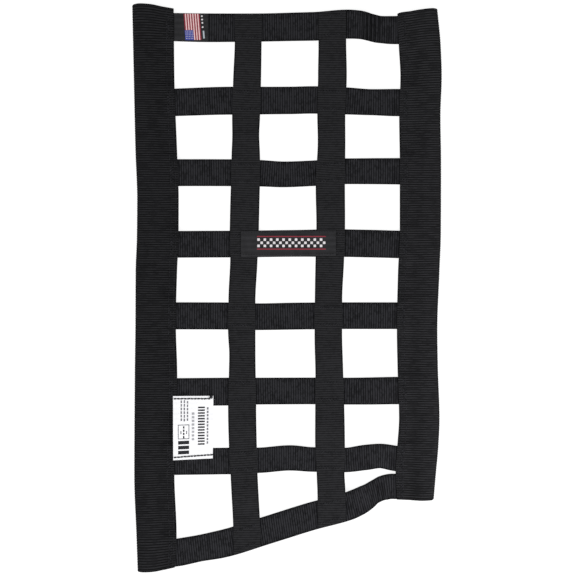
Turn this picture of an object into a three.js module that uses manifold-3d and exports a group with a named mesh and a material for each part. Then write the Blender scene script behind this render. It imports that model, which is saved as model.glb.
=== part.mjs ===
// A window net for a racing car, lying flat. Eight cross straps pass under two uprights, all of one-inch
// webbing, and are sewn at both ends between the layers of a sleeve: three-inch webbing folded lengthwise,
// which takes a mounting rod. A white tag, a flag label and a plain centre label are sewn on top.
// Millimetres. +X runs along the cross straps, +Y from the slanting end to the square one, +Z up.

import * as THREE from "three";
import { mergeVertices } from "three/addons/utils/BufferGeometryUtils.js";
import Module from "manifold-3d";

const wasm = await Module();
wasm.setup();

// Cloth as it is bought, and the space left between two pieces that lie on each other
const STRAP_THICKNESS = 1.5;
const SLEEVE_THICKNESS = 1.3;
const LABEL_THICKNESS = 1;
const CLEARANCE = 0.3;

// The woven edge of a strap: how much of its half width is full thickness, and how thin the rim is
const FULL_SHARE = 0.92;
const RIM_SHARE = 0.45;

// The sleeve's section, measured from its fold towards its seam
const SLEEVE_WIDTH = 39.4;
const CROWN_FROM_FOLD = 5.5;
const CHANNEL_WIDTH = 28;
const CHANNEL_FULLNESS = 1.6;
const SEAM_GRIP = 10.5;
const PINCH_LENGTH = 7;

// What the steps of the solids measure, and how far a rest reaches past what it carries
const STRAP_STEP = 8;
const LEAST_STATION_STEP = 1;
const REST_MARGIN = 1;

// Points nearer than this are one point, and this many steps bring two crossing centre lines together
const MERGE_DISTANCE = 1e-3;
const CROSSING_STEPS = 6;

// The height of a strap's underside where it enters a sleeve, and of an upright's above a cross strap's
const SLEEVE_REST = SLEEVE_THICKNESS + CLEARANCE;
const STACK_HEIGHT = STRAP_THICKNESS + CLEARANCE;

const WEBBING = new THREE.MeshStandardMaterial({ color: 0x242427, roughness: 0.78, metalness: 0 });
const SLEEVE_WEBBING = new THREE.MeshStandardMaterial({ color: 0x212124, roughness: 0.8, metalness: 0 });
const BLACK_SATIN = new THREE.MeshStandardMaterial({ color: 0x2e2e31, roughness: 0.55, metalness: 0 });
const WHITE_TAFFETA = new THREE.MeshStandardMaterial({ color: 0xf1f1f2, roughness: 0.6, metalness: 0 });
const FLAG_WEAVE = new THREE.MeshStandardMaterial({ color: 0x8a4a52, roughness: 0.6, metalness: 0 });

// Each cross strap from its left end to its right: where its centre line runs and how wide it shows.
// A fold is a place where the strap stands off the floor (or dips, below nought), and its reach each way.
const CROSS_STRAPS = [
  {
    name: "cross_strap_1",
    sections: [
      { x: -119, y: 250.8, width: 26.4 },
      { x: -75, y: 250, width: 27 },
      { x: -25, y: 250.3, width: 26.5 },
      { x: 26, y: 251.2, width: 27 },
      { x: 58, y: 253.3, width: 27.4 },
      { x: 70, y: 252.5, width: 26.8 },
      { x: 80, y: 250.4, width: 25.6 },
      { x: 90, y: 248.2, width: 25.6 },
      { x: 99, y: 247.7, width: 26.4 },
      { x: 118, y: 248, width: 26.8 },
    ],
    folds: [
      { at: 3, reach: 24, height: 1.5 },
      { at: 69, reach: 11, height: 2.2 },
      { at: 83, reach: 9, height: -1.6 },
      { at: 95, reach: 8, height: 1 },
    ],
  },
  {
    name: "cross_strap_2",
    sections: [
      { x: -119, y: 177.9, width: 25.6 },
      { x: -93, y: 178.8, width: 26 },
      { x: -54, y: 180, width: 26.3 },
      { x: 3, y: 180.2, width: 25.8 },
      { x: 24, y: 180.7, width: 25.8 },
      { x: 58, y: 179.7, width: 25.4 },
      { x: 80, y: 178.4, width: 24.5 },
      { x: 104, y: 178.1, width: 25.6 },
      { x: 119, y: 178.1, width: 25.6 },
    ],
    folds: [
      { at: -80, reach: 24, height: 1.2 },
      { at: 2, reach: 25, height: 0.8 },
      { at: 82, reach: 22, height: 2.2 },
    ],
  },
  {
    name: "cross_strap_3",
    sections: [
      { x: -117, y: 110.8, width: 25.3 },
      { x: -55, y: 110.8, width: 25.3 },
      { x: -27, y: 110.3, width: 24.9 },
      { x: -3, y: 109.1, width: 24.2 },
      { x: 24, y: 110.2, width: 24 },
      { x: 58, y: 112.2, width: 24.2 },
      { x: 119, y: 112.1, width: 25 },
    ],
    folds: [
      { at: -78, reach: 22, height: 0.9 },
      { at: 0, reach: 26, height: 2.4 },
      { at: 82, reach: 22, height: 1 },
    ],
  },
  {
    name: "cross_strap_4",
    sections: [
      { x: -116, y: 41.9, width: 25.1 },
      { x: -55, y: 42.2, width: 25.1 },
      { x: 0, y: 42.8, width: 25.1 },
      { x: 45, y: 43.2, width: 25.9 },
      { x: 80, y: 42.6, width: 26 },
      { x: 106, y: 41.9, width: 25.9 },
      { x: 119, y: 41.7, width: 25.9 },
    ],
    folds: [
      { at: -78, reach: 22, height: 1.4 },
      { at: 0, reach: 24, height: 0.6 },
      { at: 82, reach: 20, height: 1.2 },
    ],
  },
  {
    name: "cross_strap_5",
    sections: [
      { x: -118, y: -26.7, width: 25.5 },
      { x: -55, y: -26.9, width: 25.5 },
      { x: -28, y: -27.6, width: 25.1 },
      { x: 10, y: -27, width: 25.3 },
      { x: 58, y: -26.6, width: 25.1 },
      { x: 117, y: -26.6, width: 25.1 },
    ],
    folds: [
      { at: -80, reach: 22, height: 0.8 },
      { at: -2, reach: 25, height: 1.6 },
      { at: 80, reach: 22, height: 0.8 },
    ],
  },
  {
    name: "cross_strap_6",
    sections: [
      { x: -117, y: -100, width: 26.1 },
      { x: -62, y: -99.6, width: 26.2 },
      { x: -28, y: -99.1, width: 25.2 },
      { x: 26, y: -98.9, width: 25.1 },
      { x: 58, y: -99.1, width: 25.3 },
      { x: 106, y: -98.5, width: 25.8 },
      { x: 118, y: -98.4, width: 25.8 },
    ],
    folds: [
      { at: 0, reach: 25, height: 1 },
      { at: 82, reach: 22, height: 1.8 },
    ],
  },
  {
    name: "cross_strap_7",
    sections: [
      { x: -119, y: -166.9, width: 25 },
      { x: -55, y: -166.2, width: 25 },
      { x: -26, y: -165.5, width: 23.8 },
      { x: 3, y: -163.1, width: 23.8 },
      { x: 24, y: -164.7, width: 23.1 },
      { x: 56, y: -165.2, width: 23 },
      { x: 75, y: -162.7, width: 23.8 },
      { x: 89, y: -161.2, width: 23 },
      { x: 102, y: -163.3, width: 23.8 },
      { x: 116, y: -165.5, width: 24 },
    ],
    folds: [
      { at: 2, reach: 26, height: 3 },
      { at: 82, reach: 22, height: 3.6 },
    ],
  },
  {
    name: "cross_strap_8",
    sections: [
      { x: -118, y: -255.6, width: 25.8 },
      { x: -104.6, y: -253.9, width: 26 },
      { x: -83.5, y: -249.8, width: 25 },
      { x: -64, y: -246.2, width: 26.2 },
      { x: -53, y: -243.5, width: 26.3 },
      { x: -26, y: -234.9, width: 26.3 },
      { x: 22, y: -219.7, width: 26.3 },
      { x: 58, y: -209.8, width: 26.5 },
      { x: 68, y: -205.5, width: 25.7 },
      { x: 76, y: -200.8, width: 23.9 },
      { x: 82, y: -196.9, width: 21.5 },
      { x: 87, y: -194.3, width: 21.8 },
      { x: 93, y: -191.9, width: 23.3 },
      { x: 101, y: -190.5, width: 23.8 },
      { x: 116, y: -190.9, width: 24 },
    ],
    folds: [
      { at: -78, reach: 22, height: 1.5 },
      { at: -2, reach: 24, height: 1.2 },
      { at: 77, reach: 15, height: 3 },
      { at: 94, reach: 8, height: -1 },
    ],
  },
];

// Each upright from its square end to its slanting one, and how high each cross strap lies under it
const UPRIGHTS = [
  {
    name: "upright_left",
    sections: [
      { y: 268, x: -37.1, width: 25.3 },
      { y: 236, x: -37.3, width: 25.2 },
      { y: 197, x: -38.4, width: 26.2 },
      { y: 165, x: -39.3, width: 26.2 },
      { y: 147, x: -39.6, width: 25.3 },
      { y: 125, x: -39.6, width: 26.8 },
      { y: 75, x: -40.6, width: 27.4 },
      { y: 57, x: -41, width: 27.4 },
      { y: 28, x: -41.4, width: 25.6 },
      { y: -12, x: -43.3, width: 25.3 },
      { y: -40, x: -43.5, width: 25.7 },
      { y: -64, x: -42.9, width: 24.6 },
      { y: -115, x: -43.1, width: 26.4 },
      { y: -151, x: -42.4, width: 26.2 },
      { y: -180, x: -41.2, width: 25.3 },
      { y: -228, x: -38.8, width: 25.3 },
      { y: -264, x: -38, width: 25.3 },
    ],
    crossingLifts: [0.5, 0, 0, 0, 0, 0, 0, 0.5],
    folds: [
      { at: 214, reach: 20, height: 1 },
      { at: 145, reach: 20, height: 1.8 },
      { at: 77, reach: 20, height: 0.8 },
      { at: 8, reach: 20, height: 1.6 },
      { at: -62, reach: 20, height: -0.8 },
      { at: -132, reach: 19, height: 1.2 },
      { at: -198, reach: 18, height: 2.4 },
    ],
  },
  {
    name: "upright_right",
    sections: [
      { y: 270, x: 43.3, width: 26 },
      { y: 236, x: 43.5, width: 26 },
      { y: 204, x: 43.6, width: 27 },
      { y: 165, x: 42.5, width: 26.3 },
      { y: 142, x: 42.8, width: 25.9 },
      { y: 96, x: 41.6, width: 27.5 },
      { y: 62, x: 42, width: 27 },
      { y: 27, x: 41.1, width: 26.8 },
      { y: -10, x: 39.9, width: 25.7 },
      { y: -45, x: 39.7, width: 25.9 },
      { y: -80, x: 40.6, width: 26.1 },
      { y: -120, x: 41.1, width: 27.5 },
      { y: -148, x: 41.3, width: 28 },
      { y: -180, x: 41.9, width: 26.1 },
      { y: -195, x: 42.6, width: 26.3 },
      { y: -238, x: 43.2, width: 26.3 },
    ],
    crossingLifts: [3.2, 0.5, 0, 0, 0, 0, 0.8, 2],
    folds: [
      { at: 214, reach: 20, height: 1.4 },
      { at: 145, reach: 20, height: 0.8 },
      { at: 77, reach: 20, height: 1.4 },
      { at: 8, reach: 20, height: -0.7 },
      { at: -62, reach: 20, height: 1.2 },
      { at: -132, reach: 19, height: 1.9 },
    ],
  },
];

// Each sleeve from its square end to its slanting one: its folded edge, its sewn edge and how high the
// crown of its rod channel stands. Each end is a curved cut, from share 0 at the fold to 1 at the seam.
const SLEEVES = [
  {
    name: "sleeve_left",
    sections: [
      { y: 269, outer: -148.2, seam: -109, crown: 11.8 },
      { y: 200, outer: -146.7, seam: -108.3, crown: 11 },
      { y: 133, outer: -145.2, seam: -105.8, crown: 10.6 },
      { y: 85, outer: -143.5, seam: -104.2, crown: 11 },
      { y: 50, outer: -143.8, seam: -104.3, crown: 10.8 },
      { y: 15, outer: -145, seam: -105.8, crown: 10.6 },
      { y: -35, outer: -145.2, seam: -106.9, crown: 11.2 },
      { y: -84, outer: -145.8, seam: -105.6, crown: 10.8 },
      { y: -180, outer: -146.3, seam: -108.3, crown: 10.6 },
      { y: -237, outer: -144.2, seam: -106.2, crown: 11.2 },
      { y: -270, outer: -143, seam: -108, crown: 12 },
    ],
    squareEnd: [
      { share: 0, y: 269.8 },
      { share: 0.05, y: 271.4 },
      { share: 0.2, y: 272.4 },
      { share: 0.45, y: 272 },
      { share: 0.75, y: 270 },
      { share: 1, y: 268.2 },
    ],
    slantingEnd: [
      { share: 0, y: -271.9 },
      { share: 0.15, y: -272.4 },
      { share: 0.45, y: -271.8 },
      { share: 0.7, y: -270.3 },
      { share: 1, y: -267.8 },
    ],
  },
  {
    name: "sleeve_right",
    sections: [
      { y: 267, outer: 144, seam: 106, crown: 11.6 },
      { y: 233, outer: 147.2, seam: 107.5, crown: 10.8 },
      { y: 203, outer: 148.2, seam: 109.1, crown: 10.8 },
      { y: 165, outer: 147, seam: 107.9, crown: 10.8 },
      { y: 120, outer: 147.6, seam: 108.5, crown: 10.6 },
      { y: 54, outer: 147.4, seam: 108.5, crown: 10.8 },
      { y: 15, outer: 146, seam: 106.8, crown: 11 },
      { y: -40, outer: 144, seam: 105.7, crown: 11.2 },
      { y: -75, outer: 144.5, seam: 106.3, crown: 11 },
      { y: -125, outer: 146.1, seam: 107.8, crown: 10.6 },
      { y: -152, outer: 145, seam: 106.1, crown: 10.8 },
      { y: -176, outer: 142.8, seam: 104.4, crown: 12.2 },
      { y: -203, outer: 140.4, seam: 105.8, crown: 13.8 },
    ],
    squareEnd: [
      { share: 0, y: 267.4 },
      { share: 0.1, y: 268.1 },
      { share: 0.43, y: 266.9 },
      { share: 0.7, y: 265.4 },
      { share: 0.93, y: 264 },
      { share: 1, y: 262.8 },
    ],
    slantingEnd: [
      { share: 0, y: -201.8 },
      { share: 0.08, y: -203 },
      { share: 0.4, y: -203.6 },
      { share: 1, y: -202.9 },
    ],
  },
];

// The labels: where each starts and ends, and the strap that it is sewn to
const CENTRE_LABEL = { from: -44.2, to: 47, width: 24.4, ramp: 4 };
const FLAG_LABEL = { from: -108.3, to: -75.8, width: 26.6 };
const WHITE_TAG = {
  corners: {
    squareFold: [-109.4, -103.8],
    squareFree: [-70.7, -103.6],
    slantFold: [-109.2, -165.3],
    slantFree: [-71.3, -163.6],
  },
  bow: 0.8,
  ramp: 4,
};

const lerp = THREE.MathUtils.lerp;
const smoothstep = THREE.MathUtils.smoothstep;

// One column of a table at any place along it: a smooth curve through the rows, level where it turns back
function valueAt(rows, along, column, place) {
  const downwards = rows[0][along] > rows.at(-1)[along];
  const ordered = downwards ? rows.toReversed() : rows;
  const last = ordered.length - 2;
  const found = ordered.findLastIndex((row) => row[along] <= place);
  const i = THREE.MathUtils.clamp(found, 0, last);
  const rise = (k) =>
    (ordered[k + 1][column] - ordered[k][column]) / (ordered[k + 1][along] - ordered[k][along]);
  const slope = (before, after) => (before * after <= 0 ? 0 : (2 * before * after) / (before + after));
  const span = ordered[i + 1][along] - ordered[i][along];
  const t = THREE.MathUtils.clamp((place - ordered[i][along]) / span, 0, 1);
  const start = i === 0 ? rise(0) : slope(rise(i - 1), rise(i));
  const end = i === last ? rise(last) : slope(rise(i), rise(i + 1));
  const ease = t * t * (3 - 2 * t);
  const bend = t * (1 - t) * ((1 - t) * start - t * end) * span;
  return lerp(ordered[i][column], ordered[i + 1][column], ease) + bend;
}

// How fast a column changes along the table
function slopeAt(rows, along, column, place) {
  const step = 0.5;
  const [before, after] = [place - step, place + step].map((at) => valueAt(rows, along, column, at));
  return (after - before) / (2 * step);
}

// Where a cross strap and an upright cross, found by going from one centre line to the other and back
function crossingOf(strap, upright) {
  let x = 0;
  let y = 0;
  for (let step = 0; step < CROSSING_STEPS; step++) {
    y = valueAt(strap.sections, "x", "y", x);
    x = valueAt(upright.sections, "y", "x", y);
  }
  const slope = Math.abs(slopeAt(strap.sections, "x", "y", x));
  const halfX = valueAt(upright.sections, "y", "width", y) / 2 + REST_MARGIN;
  const halfY = (valueAt(strap.sections, "x", "width", x) / 2) * Math.hypot(1, slope) + slope * halfX;
  return { x, y, halfX, halfY: halfY + REST_MARGIN };
}

// The underside's height: level on each rest, ramping from one rest to the next, and folds on top of that
function undersideAt(rests, folds, place) {
  const next = rests.findIndex((rest) => place < rest.from);
  const before = rests.at(next === -1 ? -1 : Math.max(next - 1, 0));
  let height = before.height;
  if (next > 0 && place > before.to) {
    height = lerp(before.height, rests[next].height, smoothstep(place, before.to, rests[next].from));
  }
  for (const fold of folds) {
    const share = (place - fold.at) / fold.reach;
    if (Math.abs(share) < 1) height += fold.height * Math.cos((share * Math.PI) / 2) ** 2;
  }
  return height;
}

// The places where a cross strap is held: in the left sleeve, under both uprights and in the right sleeve
function restsOfCrossStrap(strap, index) {
  const middle = valueAt(strap.sections, "x", "y", 0);
  const [left, right] = SLEEVES.map((sleeve) => valueAt(sleeve.sections, "y", "seam", middle));
  const crossings = UPRIGHTS.map((upright) => {
    const { x, halfX } = crossingOf(strap, upright);
    return { from: x - halfX, to: x + halfX, height: upright.crossingLifts[index] };
  });
  return [
    { from: -Infinity, to: left + REST_MARGIN, height: SLEEVE_REST },
    ...crossings,
    { from: right - REST_MARGIN, to: Infinity, height: SLEEVE_REST },
  ];
}

// The places where an upright is held: on top of each cross strap
function restsOfUpright(upright) {
  const rests = CROSS_STRAPS.map((strap, index) => {
    const { y, halfY } = crossingOf(strap, upright);
    return { from: y - halfY, to: y + halfY, height: upright.crossingLifts[index] + STACK_HEIGHT };
  });
  return rests.reverse();
}

CROSS_STRAPS.forEach((strap, index) => (strap.rests = restsOfCrossStrap(strap, index)));
UPRIGHTS.forEach((upright) => (upright.rests = restsOfUpright(upright)));

const undersideOf = (strap, place) => undersideAt(strap.rests, strap.folds, place);
const topOf = (strap, place) => undersideOf(strap, place) + STRAP_THICKNESS;

// A closed solid, made by giving every point of a plain box its place
function shapedBox(rows, columns, placeOf) {
  const box = new THREE.BoxGeometry(1, 1, 1, rows, columns, 1);
  const points = box.getAttribute("position");
  for (let i = 0; i < points.count; i++) {
    const row = Math.round((points.getX(i) + 0.5) * rows);
    const column = Math.round((points.getY(i) + 0.5) * columns);
    const face = Math.round(points.getZ(i) + 0.5);
    points.setXYZ(i, ...placeOf(row, column, face));
  }
  return box;
}

// Webbing with a thinner rim at both edges: `centreAt` gives the centre line, its direction and the width
function strapGeometry(from, to, centreAt) {
  const steps = Math.ceil(Math.abs(to - from) / STRAP_STEP);
  const sides = [-1, -FULL_SHARE, FULL_SHARE, 1];
  return shapedBox(steps, sides.length - 1, (row, column, face) => {
    const { centre, direction, width, underside } = centreAt(lerp(from, to, row / steps));
    const across = new THREE.Vector2(-direction.y, direction.x).multiplyScalar((sides[column] * width) / 2);
    const share = Math.abs(sides[column]) === 1 ? RIM_SHARE : 1;
    const z = underside + STRAP_THICKNESS * (0.5 + (face - 0.5) * share);
    return [centre.x + across.x, centre.y + across.y, z];
  });
}

function crossStrapGeometry(strap) {
  const { sections } = strap;
  return strapGeometry(sections[0].x, sections.at(-1).x, (x) => ({
    centre: new THREE.Vector2(x, valueAt(sections, "x", "y", x)),
    direction: new THREE.Vector2(1, slopeAt(sections, "x", "y", x)).normalize(),
    width: valueAt(sections, "x", "width", x),
    underside: undersideOf(strap, x),
  }));
}

function uprightGeometry(upright) {
  const { sections } = upright;
  return strapGeometry(sections.at(-1).y, sections[0].y, (y) => ({
    centre: new THREE.Vector2(valueAt(sections, "y", "x", y), y),
    direction: new THREE.Vector2(slopeAt(sections, "y", "x", y), 1).normalize(),
    width: valueAt(sections, "y", "width", y),
    underside: undersideOf(upright, y),
  }));
}

function solidOf(geometry) {
  const bare = new THREE.BufferGeometry();
  bare.setAttribute("position", geometry.getAttribute("position"));
  bare.setIndex(geometry.index);
  const merged = mergeVertices(bare, MERGE_DISTANCE);
  return new wasm.Manifold(
    new wasm.Mesh({
      numProp: 3,
      vertProperties: merged.getAttribute("position").array,
      triVerts: new Uint32Array(merged.index.array),
    }),
  );
}

function geometryOf(solid) {
  const { vertProperties, triVerts } = solid.getMesh();
  const geometry = new THREE.BufferGeometry();
  geometry.setAttribute("position", new THREE.BufferAttribute(vertProperties, 3));
  geometry.setIndex(new THREE.BufferAttribute(triVerts, 1));
  geometry.computeVertexNormals();
  return geometry;
}

// An upright is cut off just inside the outer edge of the first and of the last cross strap
function trimmedUpright(upright) {
  const cutInside = 0.6;
  let solid = solidOf(uprightGeometry(upright));
  const ends = [
    { strap: CROSS_STRAPS[0], side: 1 },
    { strap: CROSS_STRAPS.at(-1), side: -1 },
  ];
  for (const { strap, side } of ends) {
    const { x, y } = crossingOf(strap, upright);
    const along = new THREE.Vector2(1, slopeAt(strap.sections, "x", "y", x)).normalize();
    const inward = new THREE.Vector2(-along.y, along.x).multiplyScalar(-side);
    const reach = valueAt(strap.sections, "x", "width", x) / 2 - cutInside;
    const offset = inward.dot(new THREE.Vector2(x, y)) - reach;
    solid = solid.trimByPlane([inward.x, inward.y, 0], offset);
  }
  return geometryOf(solid);
}

// Where a cross strap's end lies between the layers of a sleeve, along the sleeve's sewn edge
function gripOf(sleeve, strap) {
  const inward = Math.sign(sleeve.sections[0].outer);
  const middle = valueAt(strap.sections, "x", "y", 0);
  const seam = valueAt(sleeve.sections, "y", "seam", middle);
  const places = [seam, seam + inward * SEAM_GRIP].map((x) => ({
    centre: valueAt(strap.sections, "x", "y", x),
    half: valueAt(strap.sections, "x", "width", x) / 2 + REST_MARGIN,
  }));
  // The first and the last strap hold the sleeve open right up to its ends
  return {
    from: strap === CROSS_STRAPS.at(-1) ? -Infinity : Math.min(...places.map((at) => at.centre - at.half)),
    to: strap === CROSS_STRAPS[0] ? Infinity : Math.max(...places.map((at) => at.centre + at.half)),
  };
}

SLEEVES.forEach((sleeve) => (sleeve.grips = CROSS_STRAPS.map((strap) => gripOf(sleeve, strap))));

// The sewn edge's full height: two layers, and the strap between them where there is one
function seamHeightAt(sleeve, y) {
  const shares = sleeve.grips.map(
    (grip) => 1 - smoothstep(Math.max(grip.from - y, y - grip.to), 0, PINCH_LENGTH),
  );
  return 2 * SLEEVE_THICKNESS + CLEARANCE + STACK_HEIGHT * Math.max(...shares);
}

// The middle of the folded cloth and the way out of it. `turn` runs along the lower layer from 0 at the
// sewn edge to 1, round the fold to 2, and along the upper layer to 3 at the sewn edge again.
function sleeveSection(turn, crown, seamHeight) {
  const half = SLEEVE_THICKNESS / 2;
  if (turn <= 1) return { fromFold: lerp(SLEEVE_WIDTH, CROWN_FROM_FOLD, turn), z: half, out: [0, -1] };
  if (turn < 2) {
    const angle = -Math.PI / 2 - (turn - 1) * Math.PI;
    const reach = CROWN_FROM_FOLD - half;
    const rise = crown / 2 - half;
    const out = new THREE.Vector2(Math.cos(angle) * rise, Math.sin(angle) * reach).normalize();
    return {
      fromFold: CROWN_FROM_FOLD + reach * Math.cos(angle),
      z: crown / 2 + rise * Math.sin(angle),
      out: [out.x, out.y],
    };
  }
  const fromFold = lerp(CROWN_FROM_FOLD, SLEEVE_WIDTH, turn - 2);
  const share = Math.min((fromFold - CROWN_FROM_FOLD) / (CHANNEL_WIDTH - CROWN_FROM_FOLD), 1);
  const fullness = Math.cos((share ** CHANNEL_FULLNESS * Math.PI) / 2) ** 2;
  return { fromFold, z: lerp(seamHeight, crown, fullness) - half, out: [0, 1] };
}

// A sleeve's stations: its two ends, both sides of each strap end that it grips, and the middle between
function stationsOf(sleeve) {
  const top = sleeve.squareEnd.at(-1).y;
  const bottom = sleeve.slantingEnd.at(-1).y;
  const places = [top, bottom];
  sleeve.grips.forEach(({ from, to }, i) => {
    places.push(from - PINCH_LENGTH, from, to, to + PINCH_LENGTH);
    if (i > 0) places.push((to + sleeve.grips[i - 1].from) / 2);
  });
  const inside = places.filter((y) => y >= bottom && y <= top);
  return inside.sort((a, b) => a - b).filter((y, i, all) => i === 0 || y - all[i - 1] > LEAST_STATION_STEP);
}

// A station lies straight across its sleeve, and bends into the curved cut past the outermost grips
function bentStation(sleeve, station, share) {
  const cuts = [
    { end: sleeve.squareEnd, start: sleeve.grips[0].from },
    { end: sleeve.slantingEnd, start: sleeve.grips.at(-1).to },
  ];
  const offsets = cuts.map(({ end, start }) => {
    const last = end.at(-1).y;
    const bend = THREE.MathUtils.clamp((station - start) / (last - start), 0, 1);
    return bend * (valueAt(end, "share", "y", share) - last);
  });
  return station + offsets[0] + offsets[1];
}

// The columns lie closer together round the fold and where the upper layer curves down from the channel
function sleeveGeometry(sleeve) {
  const turns = [0, 0.5, 1, 1.2, 1.4, 1.6, 1.8, 2, 2.15, 2.3, 2.45, 2.58, 2.68, 3];
  const stations = stationsOf(sleeve);
  if (sleeve.sections[0].outer < 0) stations.reverse();
  return shapedBox(stations.length - 1, turns.length - 1, (row, column, face) => {
    const { sections } = sleeve;
    const nominal = sleeveSection(turns[column], 0, 0).fromFold / SLEEVE_WIDTH;
    const y = bentStation(sleeve, stations[row], nominal);
    const crown = valueAt(sections, "y", "crown", y);
    const { fromFold, z, out } = sleeveSection(turns[column], crown, seamHeightAt(sleeve, y));
    const offset = (face - 0.5) * SLEEVE_THICKNESS;
    const share = (fromFold + offset * out[0]) / SLEEVE_WIDTH;
    const x = lerp(valueAt(sections, "y", "outer", y), valueAt(sections, "y", "seam", y), share);
    return [x, y, z + offset * out[1]];
  });
}

// The centre label lies on its strap between the uprights and climbs over both of them
function centreLabelGeometry() {
  const strap = CROSS_STRAPS[3];
  const [left, right] = UPRIGHTS.map((upright) => crossingOf(strap, upright));
  const dropStart = left.x + left.halfX;
  const climbEnd = right.x - right.halfX;
  const { from, to, width, ramp } = CENTRE_LABEL;
  const followsFold = [-12, 0, 12];
  const places = [
    from,
    dropStart,
    dropStart + ramp / 2,
    dropStart + ramp,
    ...followsFold,
    climbEnd - ramp,
    climbEnd - ramp / 2,
    climbEnd,
    to,
  ];
  return shapedBox(places.length - 1, 1, (row, column, face) => {
    const x = places[row];
    const offLeft = smoothstep(x, dropStart, dropStart + ramp);
    const onRight = smoothstep(x, climbEnd - ramp, climbEnd);
    const climb = STACK_HEIGHT * (1 - offLeft + onRight);
    const z = topOf(strap, x) + CLEARANCE + climb + face * LABEL_THICKNESS;
    return [x, valueAt(strap.sections, "x", "y", x) + (column - 0.5) * width, z];
  });
}

// The flag label lies on the first cross strap, beside the left sleeve
function flagLabelGeometry() {
  const strap = CROSS_STRAPS[0];
  const { from, to, width } = FLAG_LABEL;
  const steps = 4;
  return shapedBox(steps, 1, (row, column, face) => {
    const x = lerp(from, to, row / steps);
    const z = topOf(strap, x) + CLEARANCE + face * LABEL_THICKNESS;
    return [x, valueAt(strap.sections, "x", "y", x) + (column - 0.5) * width, z];
  });
}

// The white tag bridges the sixth and seventh cross straps, and its long edge climbs on to the left sleeve
function whiteTagGeometry() {
  const { corners, bow, ramp } = WHITE_TAG;
  const upper = CROSS_STRAPS[5];
  const lower = CROSS_STRAPS[6];
  const sharesDown = [0, 0.14, 0.35, 0.5, 0.65, 0.82, 1];
  const sharesFree = [1 / 3, 2 / 3, 1];
  const edgeOf = (strap, side) => {
    const middle = (corners.squareFold[0] + corners.squareFree[0]) / 2;
    const width = valueAt(strap.sections, "x", "width", middle);
    return valueAt(strap.sections, "x", "y", middle) + (side * width) / 2;
  };
  const cornerAt = (axis, over, down) =>
    lerp(
      lerp(corners.squareFold[axis], corners.squareFree[axis], over),
      lerp(corners.slantFold[axis], corners.slantFree[axis], over),
      down,
    );
  return shapedBox(sharesDown.length - 1, 3 + sharesFree.length, (row, column, face) => {
    const down = sharesDown[row];
    const middleY = cornerAt(1, 0.5, down);
    const climb = valueAt(SLEEVES[0].sections, "y", "seam", middleY) + REST_MARGIN;
    const [left, right] = [0, 1].map((over) => cornerAt(0, over, down));
    const foot = climb + ramp;
    const free = sharesFree.map((share) => lerp(foot, right, share));
    const x = [left, climb, climb + ramp / 2, foot, ...free][column];
    const y = cornerAt(1, (x - left) / (right - left), down);
    const onLower = 1 - smoothstep(y, edgeOf(lower, 1), edgeOf(upper, -1));
    const onSleeve = 1 - smoothstep(x, climb, foot);
    const underside =
      lerp(topOf(upper, x), topOf(lower, x), onLower) +
      CLEARANCE +
      onSleeve * (SLEEVE_THICKNESS + CLEARANCE) +
      bow * Math.sin(Math.PI * onLower);
    return [x, y, underside + face * LABEL_THICKNESS];
  });
}

// A named mesh whose own origin is the middle of its underside, placed where that middle lies
function piece(name, geometry, material) {
  geometry.computeBoundingBox();
  const middle = geometry.boundingBox.getCenter(new THREE.Vector3()).setZ(geometry.boundingBox.min.z);
  geometry.translate(-middle.x, -middle.y, -middle.z);
  geometry.computeVertexNormals();
  const mesh = new THREE.Mesh(geometry, material);
  mesh.name = name;
  mesh.position.copy(middle);
  return mesh;
}

const net = new THREE.Group();
const lattice = new THREE.Group();
const labels = new THREE.Group();
net.add(lattice, labels);

CROSS_STRAPS.forEach((strap) => lattice.add(piece(strap.name, crossStrapGeometry(strap), WEBBING)));
UPRIGHTS.forEach((upright) => lattice.add(piece(upright.name, trimmedUpright(upright), WEBBING)));
SLEEVES.forEach((sleeve) => net.add(piece(sleeve.name, sleeveGeometry(sleeve), SLEEVE_WEBBING)));
labels.add(
  piece("centre_label", centreLabelGeometry(), BLACK_SATIN),
  piece("flag_label", flagLabelGeometry(), FLAG_WEAVE),
  piece("white_tag", whiteTagGeometry(), WHITE_TAFFETA),
);

export default net;
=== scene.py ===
"""A window net for a racing car, lying flat and seen from straight above.

Eight cross straps pass under two uprights and are sewn at both ends into folded rod sleeves. A white tag,
a flag ribbon and a satin label are sewn on top. Each piece is built here from the sizes of the solids that
it stands for, with the ribs, yarns, stitches and print that the solids leave out. The tables are in
millimetres and the meshes in metres.
"""

import logging
import math
from collections.abc import Callable, Sequence
from dataclasses import dataclass, field
from enum import Enum
from functools import partial
from typing import Any

import bmesh
import bpy
import numpy as np
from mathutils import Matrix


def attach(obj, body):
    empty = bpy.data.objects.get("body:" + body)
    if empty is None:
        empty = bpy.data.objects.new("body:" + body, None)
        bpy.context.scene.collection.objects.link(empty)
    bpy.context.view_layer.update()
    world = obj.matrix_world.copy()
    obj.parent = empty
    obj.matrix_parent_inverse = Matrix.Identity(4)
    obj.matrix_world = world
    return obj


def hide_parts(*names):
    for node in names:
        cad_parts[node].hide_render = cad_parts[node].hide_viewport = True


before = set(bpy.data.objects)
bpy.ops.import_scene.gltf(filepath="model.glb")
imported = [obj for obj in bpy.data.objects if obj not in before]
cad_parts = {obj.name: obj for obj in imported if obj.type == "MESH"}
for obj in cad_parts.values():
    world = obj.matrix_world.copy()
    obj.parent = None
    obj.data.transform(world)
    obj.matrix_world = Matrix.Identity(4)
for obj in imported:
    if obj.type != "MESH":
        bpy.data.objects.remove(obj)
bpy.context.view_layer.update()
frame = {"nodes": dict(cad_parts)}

LOG = logging.getLogger("window_net")
MM = 0.001
Rows = tuple[tuple[float, ...], ...]
Points = np.ndarray
Values = dict[Any, Any]

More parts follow.
